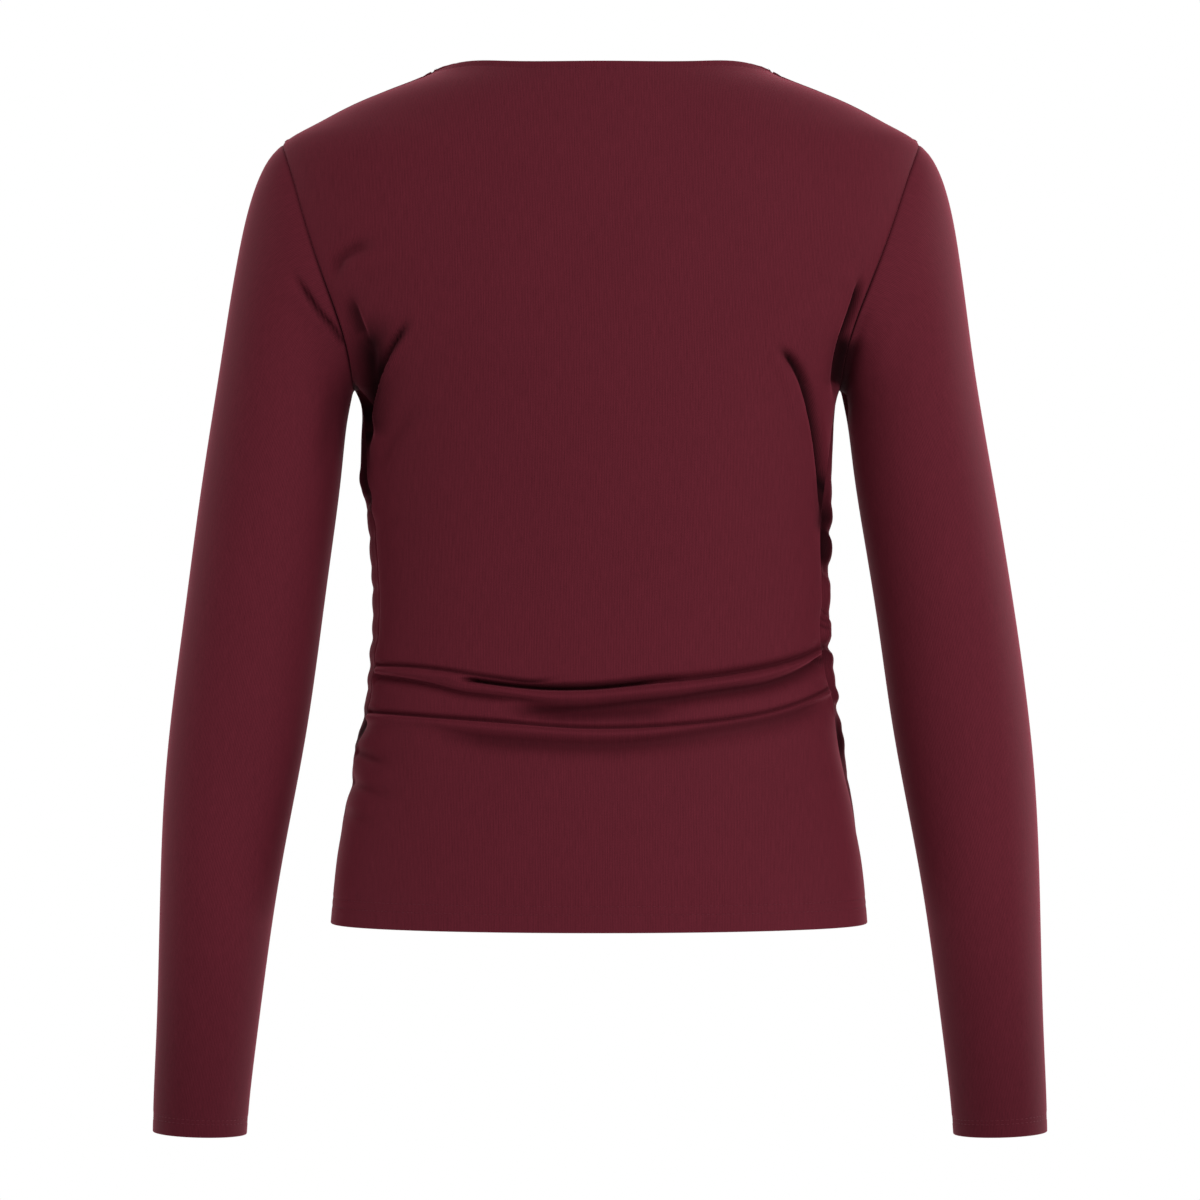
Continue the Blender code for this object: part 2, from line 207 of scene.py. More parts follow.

# Folds

# Each fold is a row: rise, above, below, start, end, shade, power, line. It follows its line of (x, z)
# points. rise is outwards, or inwards when negative; above and below are its widths on either side, and
# start and end the lengths over which it fades in and out. shade is how much shade is painted on the cloth
# in it, 0 to 1, and falls off as that power of the fold's strength.
BACK_FOLDS = [
    # The upper roll at the small of the back.
    (-2.7, 1.7, 1.1, 0, 24, 0.55, 2,
     [(150, -361), (144, -362), (121, -363), (96.5, -365), (72, -368.5), (54, -371), (36, -372),
      (25, -369.5), (18, -366)]),
    (2.4, 2.8, 3, 0, 30, 0, 2,
     [(150, -366), (144, -366), (121, -366.5), (96.5, -368.5), (72, -372), (54, -374.3), (30, -374)]),
    (-5, 1.5, 3.4, 0, 40, 0.35, 2,
     [(150, -371), (142, -370), (130.5, -369.5), (121, -370.5), (105.5, -373), (93.5, -376), (84, -378.5),
      (72, -380), (48, -382.5), (30, -385), (12, -387.5)]),
    (-9, 2.5, 1.2, 12, 34, 1, 1.4,
     [(85, -370.5), (69, -373), (54, -375), (36, -376.5), (18, -376.8), (0, -376), (-15, -374.5),
      (-33, -372.5), (-52, -371)]),
    (-4.6, 3.2, 1.1, 30, 0, 0.55, 2,
     [(-14, -374.6), (-33, -372.5), (-60, -370), (-84, -366.5), (-108.5, -361.5), (-121, -357.5),
      (-135.5, -350), (-143, -345)]),
    (2.8, 2.6, 4.4, 30, 0, 0, 2,
     [(80, -375), (54, -379), (36, -380.5), (0, -380), (-30, -377.5), (-60, -374.5), (-84, -371.5),
      (-108, -366), (-121, -361.5), (-136, -353.5), (-143, -349)]),
    (-6, 3, 5.5, 34, 0, 0.62, 2,
     [(68, -386), (50, -388), (30, -388.5), (6, -387.5), (-12, -385.5), (-30, -383.5), (-48, -381.5),
      (-60, -379.5), (-78, -377), (-96.5, -374), (-108.5, -370.5), (-121, -365), (-134, -357),
      (-142, -351.5)]),
    (-2.2, 7, 8, 34, 34, 0.4, 2,
     [(60, -389), (33, -390), (18, -390.5), (0, -390.5), (-24, -390), (-60, -386)]),
    # The lower roll.
    (-2.9, 1.7, 1, 0, 0, 0.6, 2,
     [(152, -391.5), (146, -391.5), (121, -392.5), (96, -394), (72, -395.5), (36, -398), (12, -399.5),
      (-12, -399.5), (-36, -398.5), (-60, -396.5), (-84, -393.5), (-108.5, -388.5), (-121, -384.5),
      (-136.5, -377), (-145, -372)]),
    (2.4, 2.4, 3.4, 0, 0, 0, 2,
     [(152, -394), (121, -395), (96, -397), (72, -398.8), (36, -401.2), (0, -403), (-36, -402),
      (-60, -399.6), (-84, -396.5), (-108.5, -391.5), (-121, -387.5), (-136.5, -380), (-145, -375)]),
    (-5, 3.4, 8, 60, 30, 0.42, 2,
     [(124, -399), (104, -400.5), (84, -404), (60, -407), (36, -408.5), (12, -409.5), (-12, -409),
      (-36, -406.5), (-60, -402.5), (-84, -398.5), (-108.5, -393.5), (-121, -389.5), (-137.5, -383),
      (-145, -379)]),
    # Left armpit: an arch, the pit itself, and the drag lines that run into it.
    (-3.2, 4.6, 2.6, 12, 12, 0.36, 1.4,
     [(132, -110), (143, -112), (151, -116), (155.5, -123), (155, -131)]),
    (-4.2, 3.4, 6, 16, 10, 0.75, 1.4,
     [(149.5, -135), (146.5, -142), (144, -150), (142, -160), (140.5, -170)]),
    (-6.5, 7.5, 8, 34, 20, 1, 0.9,
     [(143, -146), (139.5, -160), (137, -172), (136, -186), (137, -198), (139, -212), (141, -232)]),
    # These rows sink the cloth only a little; they mostly paint shade into the pit and down the side below
    # it.
    (-0.6, 7, 8, 12, 10, 1, 0.55, [(140, -158), (137.5, -172), (136.5, -187), (138, -204), (141, -224)]),
    (-0.4, 12, 13, 20, 14, 0.62, 1, [(139, -148), (136, -162), (135, -176), (136, -190), (138, -204)]),
    (-1.4, 4.6, 5, 12, 6, 1, 0.9, [(141, -210), (141.6, -222), (142.2, -238), (142.6, -254), (143, -265)]),
    (4.2, 2.4, 3, 34, 16, 0, 2,
     [(106, -146), (112, -155), (118, -164), (124.5, -176), (130, -188), (135, -201), (138, -214),
      (140, -226)]),
    (-5.8, 2.6, 2.8, 18, 30, 0.95, 1.3,
     [(107, -151), (114, -160.5), (120, -169.5), (125, -178), (130, -187.5), (134.5, -197), (137.5, -209),
      (139, -222), (140, -240), (140.8, -256)]),
    (-2.4, 7, 4, 24, 24, 0.12, 2,
     [(103.5, -198.5), (113.5, -215), (121.5, -226.5), (128, -241.5), (131.5, -257.5)]),
    # Right armpit.
    (-6, 2.4, 3, 16, 12, 1, 1.2,
     [(-104.5, -168.5), (-109, -172), (-114.5, -178), (-119.5, -186), (-123.5, -196), (-126.5, -208),
      (-129.5, -224), (-131.5, -240), (-133.2, -256), (-134.8, -268), (-136.8, -278)]),
    (2.2, 4, 4, 26, 30, 0, 2,
     [(-104, -174), (-110, -180), (-115, -189), (-119, -201), (-122, -216), (-125, -232)]),
    (-4.4, 2.2, 2.6, 16, 20, 1, 1.3,
     [(-156.5, -124), (-155, -133), (-152.5, -143), (-149.5, -152), (-146, -163), (-143, -176),
      (-141.5, -190), (-141, -204)]),
    # These two rows sink the cloth only a little; they mostly paint shade into the right armpit.
    (-1, 6, 6, 12, 4, 1, 0.8, [(-151.5, -158), (-150, -168), (-148, -180), (-147, -194)]),
    (-0.4, 4, 4, 16, 8, 0.9, 1, [(-136, -240), (-136.6, -256), (-137, -272), (-137, -284)]),
    # Dents beside the left side seam, under the waist.
    (-2.2, 4, 3, 0, 16, 0.25, 2, [(156, -411), (151.5, -413.5), (130.5, -421.5), (122, -424)]),
    (-2, 4, 3, 0, 20, 0.15, 2, [(156, -432), (151.5, -434), (128, -441), (118, -443)]),
    (-1.6, 4, 3, 0, 14, 0.1, 2, [(160, -450), (154.5, -452.5), (139.5, -457), (132, -459)]),
]

# How far both panels stand out from the form along each side seam.
SEAM_LINE = Table(
    ("height", "left", "right"),
    [
        (-520, 0, 0), (-492, 0.2, 0.2), (-476, 0.5, 0), (-464, 0.6, -0.4), (-452, 1.4, 0),
        (-445, 1.0, -0.1), (-437, -0.1, -0.5), (-424, 1.9, -0.9), (-414, 2.4, -0.9), (-406, 0.6, -0.4),
        (-398, -1.2, 0.4), (-391, 0.6, 1.4), (-384, 0.4, 1.7), (-378, 0.8, 1.1), (-371, 1.5, 0.2),
        (-364, 0.8, -0.2), (-357, 2.0, -0.4), (-350, 1.1, -0.6), (-343, 0.5, -0.6), (-336, 0.3, -0.4),
        (-326, 0, 1.2), (-316, 0, 1.0), (-306, 0.1, 0.7), (-297, 0, -0.2), (-286, 0, -0.9),
        (-276, -0.2, -1.2), (-267, 1.2, -0.8), (-261, 0.2, -0.6), (-252, 1.4, -0.2), (-240, 0.4, 0),
        (-226, -0.8, 0), (-214, -1.6, 0), (-204, -1.4, 0), (-194, 0, 0),
    ],
)
SEAM_LINE_REACH = 17.0

# How far the gathered front puffs out beyond the back's edge, just past each side seam.
SEAM_BULGE = Table(
    ("height", "left", "right"),
    [
        (-520, 0, 0), (-492, 0, 0), (-476, 0, 0.3), (-464, 0, 1.2), (-452, 0, 1.5), (-440, 0.4, 1.8),
        (-424, 0.2, 2.2), (-414, 0.6, 3.0), (-404, 2.0, 3.0), (-398, 2.8, 2.0), (-391, 1.0, 0.5),
        (-384, 0, 2.0), (-378, 0, 2.4), (-367, 0, 2.6), (-356, 0, 3.0), (-350.5, 0, 1.8), (-343, 0, 3.9),
        (-336, 0, 3.4), (-327, 0, 1.4), (-316, 0, 2.4), (-305, 0, 0.6), (-297, 0, 2.8), (-286, 0, 4.0),
        (-276, 0.4, 3.8), (-267, 0.6, 2.6), (-258, 2.4, 1.4), (-248, 2.8, 1.0), (-236, 2.2, 0.8),
        (-216, 1.0, 0.5), (-204, 0, 0.3), (-194, 0, 0),
    ],
)
SEAM_BULGE_STARTS = 5.5
SEAM_BULGE_REACH = 17.0

# How much shade is painted on the front beside each side seam, where it turns under the back's edge.
SIDE_SEAM_PAINTED_SHADE = Table(
    ("height", "left", "right"),
    [
        (-520, 0, 0), (-470, 0, 0.1), (-440, 0, 0.3), (-426, 0.2, 0.5), (-415, 0.5, 0.9), (-404, 1.0, 0.9),
        (-396, 1.0, 0.6), (-388, 0.3, 0.35), (-378, 0.1, 0.35), (-364, 0.1, 0.3), (-352, 0.1, 0.6),
        (-346, 0.1, 0.2), (-335, 0, 0.15), (-322, 0, 0.15), (-312, 0, 0.2), (-304, 0, 0.6),
        (-296, 0.1, 1.0), (-282, 0.2, 1.0), (-272, 0.4, 0.95), (-262, 1.0, 0.6), (-248, 1.0, 0.3),
        (-222, 1.0, 0.4), (-204, 1.0, 0.8), (-194, 1.0, 1.0),
    ],
)
SIDE_SEAM_SHADE_REACH = 14.0

# Small tucks right at the side seams, where the gathered front is caught: height, depth, half width,
# reach, slant. slant is how far one rises for each millimetre away from the seam.
LEFT_TUCKS = [
    (-261, 3.4, 3, 15, -0.3), (-357, 0.9, 2, 10, -0.2), (-398, 3.6, 4.2, 13, 0.1),
    (-419, 1.3, 2.6, 12, 0.3), (-438, 1.1, 2.4, 12, 0.3), (-456, 0.8, 2.6, 11, 0.3),
]
RIGHT_TUCKS = [
    (-276, 3.6, 3.4, 17, -0.4), (-304, 1.7, 2.2, 14, -0.3), (-328.5, 1.7, 1.5, 15, -0.5),
    (-333.5, 1.5, 1.4, 13, -0.5), (-338, 1.7, 1.4, 12, -0.4), (-351, 2.5, 2, 15, -0.1),
    (-364, 0.9, 1.8, 12, -0.1), (-389, 2.8, 2.2, 13, 0.1), (-405, 2.4, 7, 5, 0), (-424, 1, 3, 9, 0.2),
]

# Gathers of the front: height at the side seam, drop, reach, depth. Each valley starts at a side seam,
# falls by its drop as it goes round, and fades out at its reach. It is deepest a little way in.
LEFT_GATHERS = [
    (-240, 16, 66, 2.2), (-253, 26, 118, 3.6), (-267, 20, 80, 3.4), (-283, 29, 160, 4.6),
    (-300, 18, 92, 3.4), (-315, 21, 182, 4.8), (-331, 9, 84, 3.6), (-346, 12, 150, 5), (-363, 3, 98, 3.8),
    (-377, 4, 174, 4.8), (-394, -4, 88, 4.4), (-409, -8, 136, 4.2), (-424, -8, 72, 3), (-441, -13, 98, 2.6),
]
RIGHT_GATHERS = [
    (-246, 18, 74, 2.6), (-262, 26, 130, 3.8), (-282, 23, 88, 3.8), (-301, 25, 168, 4.8),
    (-316, 12, 80, 3.4), (-330, 16, 152, 4.6), (-351, 8, 108, 4.4), (-363, 2, 72, 3.2), (-376, 4, 178, 4.8),
    (-392, -3, 100, 4), (-404, -7, 140, 4.4), (-418, -8, 76, 3.2), (-433, -12, 100, 2.8),
]
# How wide a valley is at the seam and where it ends, what share of its depth it has at the seam, from
# where and over what distance it opens to its full depth, and how much shade is painted in it.
GATHER_WIDTHS = (2.2, 9.0)
GATHER_AT_SEAM = 0.16
GATHER_OPENS = (8.0, 44.0)
GATHER_PAINTED_SHADE = 0.55
# How far past its first and last valley the gathered zone ends, and the length over which it fades.
GATHER_ZONE_ENDS = (12.0, 14.0)
GATHER_ZONE_FADE = 30.0
# A tuck of this depth or more gets the most painted shade that tucks get. The painted shade beside a seam
# has its own limit.
TUCK_FULLY_SHADED = 3.2
DARKEST_TUCK_SHADE = 0.95
DARKEST_SEAM_SHADE = 0.96
# How far the cloth puffs out between the valleys.
PUFF = 1.5
PUFF_REACH = 60.0
PUFF_STARTS = 14.0

# Soft swags that cross the front from one side to the other.
FRONT_FOLDS = [
    (2.6, 8, 6, 50, 60, 0, 2,
     [(120, -288), (90, -299), (50, -309), (10, -313), (-30, -311), (-70, -303), (-112, -290)]),
    (-2.2, 5, 8, 50, 70, 0, 2, [(124, -303), (88, -317), (40, -327), (-10, -329), (-60, -322)]),
    (2.9, 8, 5.5, 60, 50, 0, 2, [(60, -334), (20, -340), (-20, -341), (-66, -334), (-122, -316)]),
    (-2.4, 5, 8, 60, 60, 0, 2, [(126, -330), (90, -342), (44, -351), (0, -355), (-50, -353), (-96, -343)]),
    (2.7, 7, 6, 50, 60, 0, 2, [(126, -352), (86, -361), (40, -368), (-6, -371), (-60, -369), (-118, -360)]),
    (-2.1, 5, 8, 70, 50, 0, 2, [(50, -381), (0, -385), (-48, -384), (-92, -378), (-130, -372)]),
    (2, 8, 7, 60, 60, 0, 2, [(130, -388), (88, -393), (40, -398), (-10, -400), (-66, -397), (-128, -388)]),
    (-1.4, 7, 10, 60, 70, 0, 2, [(134, -407), (92, -411), (44, -416), (-4, -418), (-60, -415)]),
    (-1.6, 9, 7, 50, 40, 0, 2, [(60, -236), (86, -250), (110, -262), (131, -272)]),
    (-1.6, 9, 7, 50, 40, 0, 2, [(-52, -240), (-80, -253), (-106, -266), (-130, -279)]),
    # Drag lines from the bust into the armpits.
    (-2.2, 6, 5, 40, 22, 0, 2, [(92, -150), (108, -162), (122, -176), (134, -190), (141, -205)]),
    (1.5, 5, 5, 40, 30, 0, 2, [(98, -140), (114, -152), (128, -166), (139, -181)]),
    (-2, 6, 5, 34, 20, 0, 2, [(-98, -146), (-112, -160), (-125, -174), (-136, -190), (-142, -208)]),
    (1.4, 5, 5, 34, 30, 0, 2, [(-104, -136), (-118, -149), (-131, -163), (-141, -178)]),
]

LINE_SAMPLE_SPACING = 2.0

# Where a panel lies a little off its mirror image: how far it moves to the left at each height.
LEAN = Table(
    ("height", "shift"),
    [(-520, 0.6), (-440, 0.3), (-370, -0.3), (-300, 0.4), (-194, 1.8), (-120, 1), (-44.5, -0.6), (8, -1.5)],
)


def line_distance(line, x, z):
    """Distance of points from a fold's line, plus above it, how far along it they are, and its length."""
    length = lengths_along(line)
    along = np.linspace(0, length[-1], int(length[-1] / LINE_SAMPLE_SPACING) + 2)
    sample = np.stack([smooth_curve(length, line[:, axis], along) for axis in (0, 1)], axis=1)
    heading = unit(np.gradient(sample, axis=0))
    nearest = np.full(x.shape, np.inf)
    signed = np.zeros(x.shape)
    place = np.zeros(x.shape)
    for (sx, sz), (hx, hz), at in zip(sample, heading, along):
        dx, dz = x - sx, z - sz
        squared = dx * dx + dz * dz
        closer = squared < nearest
        nearest = np.where(closer, squared, nearest)
        side = dz * hx - dx * hz
        signed = np.where(closer, side, signed)
        place = np.where(closer, at + dx * hx + dz * hz, place)
    upwards = 1.0 if heading[:, 0].sum() > 0 else -1.0
    return signed * upwards, place, length[-1]


def sunk_line(rise, line, points, outward):
    """A fold's line moved so that it is seen where it was drawn, once the cloth has risen or sunk there."""
    spots, normals = points.reshape(-1, 3), outward.reshape(-1, 3)
    line = np.array(line, float)
    for spot in line:
        nearest = np.argmin((spots[:, 0] - spot[0]) ** 2 + (spots[:, 2] - spot[1]) ** 2)
        spot -= rise * normals[nearest, [0, 2]]
    return line


def fold_relief(folds, points, outward):
    """How far the listed folds lift the cloth at each point, and how much shade is painted there, 0 to 1.
    """
    total = np.zeros(points.shape[:2])
    shade = np.zeros(points.shape[:2])
    x, z = points[..., 0], points[..., 2]
    for rise, above, below, start, end, fold_shade, power, line in folds:
        line = sunk_line(rise, line, points, outward)
        room = 3 * max(above, below)
        near = (x > line[:, 0].min() - room) & (x < line[:, 0].max() + room)
        near &= (z > line[:, 1].min() - room) & (z < line[:, 1].max() + room)
        if not near.any():
            continue
        off, place, length = line_distance(line, x[near], z[near])
        strength = np.exp(-(off / np.where(off > 0, above, below)) ** 2)
        if start:
            strength = strength * ease(place / start)
        if end:
            strength = strength * ease((length - place) / end)
        total[near] += rise * strength
        # Painted shade in the fold, strongest along its line.
        shade[near] = np.maximum(shade[near], fold_shade * strength ** power)
    return total, shade


def edge_distances(points):
    """Distance of each point from its row's right and left ends, along the row."""
    step = np.linalg.norm(np.diff(points, axis=1), axis=-1)
    from_right = np.concatenate([np.zeros((len(points), 1)), np.cumsum(step, axis=1)], axis=1)
    return from_right, from_right[:, -1:] - from_right


def seam_line_rise(height, from_right, from_left):
    """How far the cloth stands out along the side seams, alike on both panels."""
    left = SEAM_LINE.read("left", height) * np.exp(-(from_left / SEAM_LINE_REACH) ** 2)
    right = SEAM_LINE.read("right", height) * np.exp(-(from_right / SEAM_LINE_REACH) ** 2)
    return np.where(height < UNDERARM_HEIGHT, left + right, 0)


def armhole_seam_shade(height, distance):
    """How much shade is painted on the cloth beside an armhole seam: faintly at the shoulder, more at the
    underarm.
    """
    lower = ease((ARMHOLE_SEAM_SHADE_GROWS[0] - height) / (ARMHOLE_SEAM_SHADE_GROWS[0] - ARMHOLE_SEAM_SHADE_GROWS[1]))
    return between(ARMHOLE_SEAM_SHADE, lower) * np.exp(-(distance / ARMHOLE_SEAM_SHADE_HALF_WIDTH) ** 2)


def gather_relief(height, from_right, from_left):
    """How far the gathers at the side seams lift the front, and how much shade is painted at each point."""
    rise = np.zeros(height.shape)
    shade = np.zeros(height.shape)
    below_underarm = height < UNDERARM_HEIGHT
    for side, distance, gathers, tucks in (
        ("left", from_left, LEFT_GATHERS, LEFT_TUCKS),
        ("right", from_right, RIGHT_GATHERS, RIGHT_TUCKS),
    ):
        bulge = SEAM_BULGE.read(side, height) * ease(distance / SEAM_BULGE_STARTS)
        rise += bulge * np.exp(-(distance / SEAM_BULGE_REACH) ** 4)
        top, bottom = gathers[0][0] + GATHER_ZONE_ENDS[0], gathers[-1][0] - GATHER_ZONE_ENDS[1]
        zone = ease((top - height) / GATHER_ZONE_FADE) * ease((height - bottom) / GATHER_ZONE_FADE)
        rise += PUFF * zone * np.exp(-(distance / PUFF_REACH) ** 2) * ease(distance / PUFF_STARTS)
        opened = between((GATHER_AT_SEAM, 1), ease((distance - GATHER_OPENS[0]) / GATHER_OPENS[1]))
        for seam, drop, reach, depth in gathers:
            share = np.clip(distance / reach, 0, 1)
            line = seam - drop * ease(share ** 0.8)
            width = between(GATHER_WIDTHS, share ** 0.6)
            strength = (1 - ease(share)) * opened * np.exp(-np.abs((height - line) / width) ** 1.7)
            rise -= depth * strength
            # Painted shade in each valley.
            shade = np.maximum(shade, GATHER_PAINTED_SHADE * strength ** 2)
        for seam, depth, half, reach, slant in tucks:
            line = seam + slant * distance
            wedge = half * (1 + 0.5 * distance / reach)
            strength = np.exp(-((height - line) / wedge) ** 2 - (distance / reach) ** 2)
            rise -= depth * strength
            # Painted shade in each tuck.
            shade = np.maximum(shade, min(depth / TUCK_FULLY_SHADED, DARKEST_TUCK_SHADE) * strength ** 1.5)
        # Painted shade on the front beside the seam.
        beside = np.clip(SIDE_SEAM_PAINTED_SHADE.read(side, height), 0, DARKEST_SEAM_SHADE)
        shade = np.maximum(shade, beside * np.exp(-(distance / SIDE_SEAM_SHADE_REACH) ** 2) * below_underarm)
    return rise, shade


# Grids

HEM_TURN = 17.0
CUFF_TURN = 13.0
NECK_TURN = 9.0
# How far inside the outer layer a turned edge lies, and the rows that carry it round and back.
TURN_GAP = 1.55
TURN_ANGLES = 6
NECK_STEPS = 4
HEM_STEPS = 6
CUFF_STEPS = 5
# Rows beside an edge that its turned edge follows, at the hem and at the top, and the row from the
# neckline whose normal lifts its stitches.
EDGE_ROWS = 40
TOP_ROWS = 60
NECK_STITCH_ROW = 7
# Over this width beside each neck corner, the neckline's turn grows to its full roundness.
NECK_TURN_GROWS = 9.0
# Close to a seam the cloth dips into it, over this distance and by this much.
SEAM_DIP_REACH = 1.9
SEAM_DIP = 0.5

# Distances of the stitch lines from their edges, and the groove that they pull into the cloth.
HEM_STITCHES = (10.0, 15.0)
CUFF_STITCHES = (7.5, 10.0)
NECK_STITCHES = (4.6,)
GROOVE = 0.28
GROOVE_HALF_WIDTH = 1.0

COLUMN_COUNT = 124
COLUMN_CROWDING = 0.28
# The column nearest to this share of the half row leads to the neck corner.
NECK_CORNER_COLUMN = 0.62
# Extra columns close to each side edge, as shares of half the row.
EDGE_COLUMNS = (0.0016, 0.0040, 0.0072)
UPPER_ROW_COUNT = 92
# Extra rows close to the shoulder seam, where the form turns over its ridge, and to the neckline.
SHOULDER_CLIMBS = (0.0092, 0.0055, 0.0029, 0.0011)
NECK_CLIMBS = (0.0125, 0.0095, 0.0064, 0.0032)
NECK_CLOSE_ROWS = len(NECK_CLIMBS)
# Beside each neck corner, the rows change from the neckline's spacing to the shoulder's over one
# width, and the shoulder seam's dip grows over the other.
CORNER_ROWS_CHANGE = 10.0
CORNER_DIP_GROWS = 9.0

# Places across both side seams, as shares of half the row.
SIDE_STRIP = np.array([-1.02, -1, -0.98, 0.98, 1, 1.02])

# Row heights below the underarm: (from, to, spacing).
BACK_ROWS = [(-520, -502, 1.0), (-502, -444, 3.2), (-444, -422, 1.8), (-422, -344, 0.8), (-344, -310, 1.9),
             (-310, -194, 2.1)]
FRONT_ROWS = [(-520, -502, 1.0), (-502, -450, 3.2), (-450, -236, 1.35), (-236, -194, 2.3)]

SLEEVE_AROUND = 120
SLEEVE_SPACING = 2.5
# Extra rings close to the armhole, and the last stretch where the cuff's stitch grooves need close ones.
CAP_RING_DISTANCES = (0.4, 0.9, 1.6)
CUFF_FINE = 13.0
CUFF_SPACING = 1.0


def row_heights(spans):
    heights = [spans[0][0]]
    for start, end, spacing in spans:
        count = int(round((end - start) / spacing))
        heights += list(np.linspace(start, end, count + 1)[1:])
    return np.array(heights, float)


def section_depth(height, across, is_back):
    """Depth of the form at a height and a distance from its middle."""
    own = "back" if is_back else "front"
    share = np.clip(np.abs(across) / BODY.read("half_width", height), 0, 1)
    depth = BODY.read(own, height) * (1 - share ** 2) ** (BODY.read(own + "_power", height) / 2)
    return np.maximum(depth, SEAM_TRIM)


def top_height(across, is_back):
    """Height of a panel's upper edge: the neckline, and beyond it the shoulder seam."""
    across = np.abs(across)
    ridge_heights = np.linspace(SHOULDER_HEIGHT, 0, SHOULDER_SAMPLES)
    ridge_widths = BODY.read("half_width", ridge_heights)
    shoulder = np.interp(-across, -ridge_widths, ridge_heights)
    if is_back:
        neckline = BACK_NECKLINE.read("height", across)
    else:
        share = np.clip(across / NECK_HALF_WIDTH, 0, 1)
        neckline = -FRONT_NECK_DROP * np.sqrt(1 - share ** 2)
    return np.where(across < NECK_HALF_WIDTH, neckline, shoulder)


def column_places():
    """Places of the columns from -1 to 1, closer together towards the sides, with more at each edge."""
    even = np.linspace(-1, 1, COLUMN_COUNT + 1)
    places = even + COLUMN_CROWDING * np.sin(np.pi * even) / np.pi
    beside = 1 - np.array(EDGE_COLUMNS)
    return np.sort(np.concatenate([places, beside, -beside]))


def column_widths(places):
    """Widths of the columns along the upper edge, with one at each neck corner."""
    share = np.abs(places)
    corner = share[np.argmin(np.abs(share - NECK_CORNER_COLUMN))]
    neck = NECK_HALF_WIDTH * np.sin(np.pi / 2 * np.clip(share / corner, 0, 1))
    shoulder = NECK_HALF_WIDTH + (SHOULDER_HALF_WIDTH - NECK_HALF_WIDTH) * (share - corner) / (1 - corner)
    return np.sign(places) * np.where(share <= corner, neck, shoulder)


def row_climbs(widths):
    """How far up each row of the upper part is at each column, from 0 at the underarm to 1 at the top."""
    even = np.linspace(0, 1, UPPER_ROW_COUNT + 1)[1:-1]
    even = np.minimum(even, 1 - NECK_CLIMBS[0])[:, None] + 0 * widths
    on_shoulder = ease((np.abs(widths) - NECK_HALF_WIDTH) / CORNER_ROWS_CHANGE)
    neck_climbs, shoulder_climbs = np.array(NECK_CLIMBS)[:, None], np.array(SHOULDER_CLIMBS)[:, None]
    close = 1 - (1 - on_shoulder) * neck_climbs - on_shoulder * shoulder_climbs
    return np.concatenate([even, close, np.ones((1, len(widths)))])


def lower_rows(heights, columns, is_back):
    """Level rows from the hem to the underarm, from one side seam round to the other."""
    facing = 1 if is_back else -1
    height = heights[:, None] + 0 * columns[None, :]
    turn = np.radians(BODY.read("seam_turn", height))
    own, other = ("back", "front") if is_back else ("front", "back")
    own_depth, other_depth = BODY.read(own, height), BODY.read(other, height)
    edge = np.pi / 2 - facing * turn - SEAM_TRIM / own_depth
    angle = edge * columns[None, :]
    level = np.cos(angle)
    near = own_depth * np.maximum(level, 0) ** BODY.read(own + "_power", height)
    beyond = other_depth * np.maximum(-level, 0) ** BODY.read(other + "_power", height)
    across = BODY.read("half_width", height) * np.sin(angle)
    return np.stack([across, facing * (near - beyond), height], axis=-1)


def upper_rows(climbs, columns, widths, is_back):
    """Rows from the underarm to the neckline and the shoulder seams, between the two armholes."""
    facing = 1 if is_back else -1
    climb = (1 - np.cos(np.pi * climbs)) / 2
    spread = np.radians(90 + (TOP_SPREAD - 90) * climb)
    top = top_height(widths, is_back)[None, :]
    height = UNDERARM_HEIGHT + (top - UNDERARM_HEIGHT) * climb
    edge_height = UNDERARM_HEIGHT + (SHOULDER_HEIGHT - UNDERARM_HEIGHT) * climb
    edge = ARMHOLE.read("back" if is_back else "front", edge_height)
    even = np.sin(spread * columns[None, :]) / np.sin(spread)
    gathered = widths[None, :] / SHOULDER_HALF_WIDTH
    turn_in = climbs ** TURN_IN_POWER
    across = edge * (even + (gathered - even) * turn_in)
    return np.stack([across, facing * section_depth(height, across, is_back), height], axis=-1)


def grid_normals(points, wraps):
    """Unit normals of a grid of points; wraps says that its columns close into rings."""
    up = np.gradient(points, axis=0)
    if wraps:
        around = (np.roll(points, -1, axis=1) - np.roll(points, 1, axis=1)) / 2
    else:
        around = np.gradient(points, axis=1)
    return unit(np.cross(up, around))


def seam_dip(distance):
    """How far cloth sinks into a seam at each distance from it."""
    share = np.clip(1 - distance / SEAM_DIP_REACH, 0, 1)
    return SEAM_DIP * share ** 2


def groove(distance, lines):
    """How far the cloth is pulled in beside its stitch lines."""
    return GROOVE * sum(np.exp(-((distance - line) / GROOVE_HALF_WIDTH) ** 2) for line in lines)


def turned_edge(points, normals, turn, steps, roundness=1.0):
    """Rows that carry an edge round and back along the inside. points and normals start at the edge."""
    edge, normal = points[0], normals[0]
    heading = unit(np.cross(normal, np.gradient(edge, axis=0)))
    heading *= np.sign(np.sum(heading * (edge - points[TURN_ANGLES]), axis=-1, keepdims=True))
    radius = TURN_GAP / 2
    rows = []
    for angle in np.linspace(0, np.pi, TURN_ANGLES + 1)[1:]:
        past = heading * roundness * radius * np.sin(angle)
        rows.append(edge + past - normal * radius * (1 - np.cos(angle)))
    travelled = path_lengths(points, 0)
    inside = points - normals * TURN_GAP
    for distance in turn * np.linspace(0, 1, steps + 1)[1:]:
        row = [points_at(distance, travelled[:, i], inside[:, i]) for i in range(len(edge))]
        rows.append(np.array(row))
    return np.array(rows)


def steps_from(edge, rows):
    """Lengths from an edge along rows that start at it."""
    return np.linalg.norm(np.diff(np.concatenate([edge, rows]), axis=0), axis=-1).cumsum(axis=0)


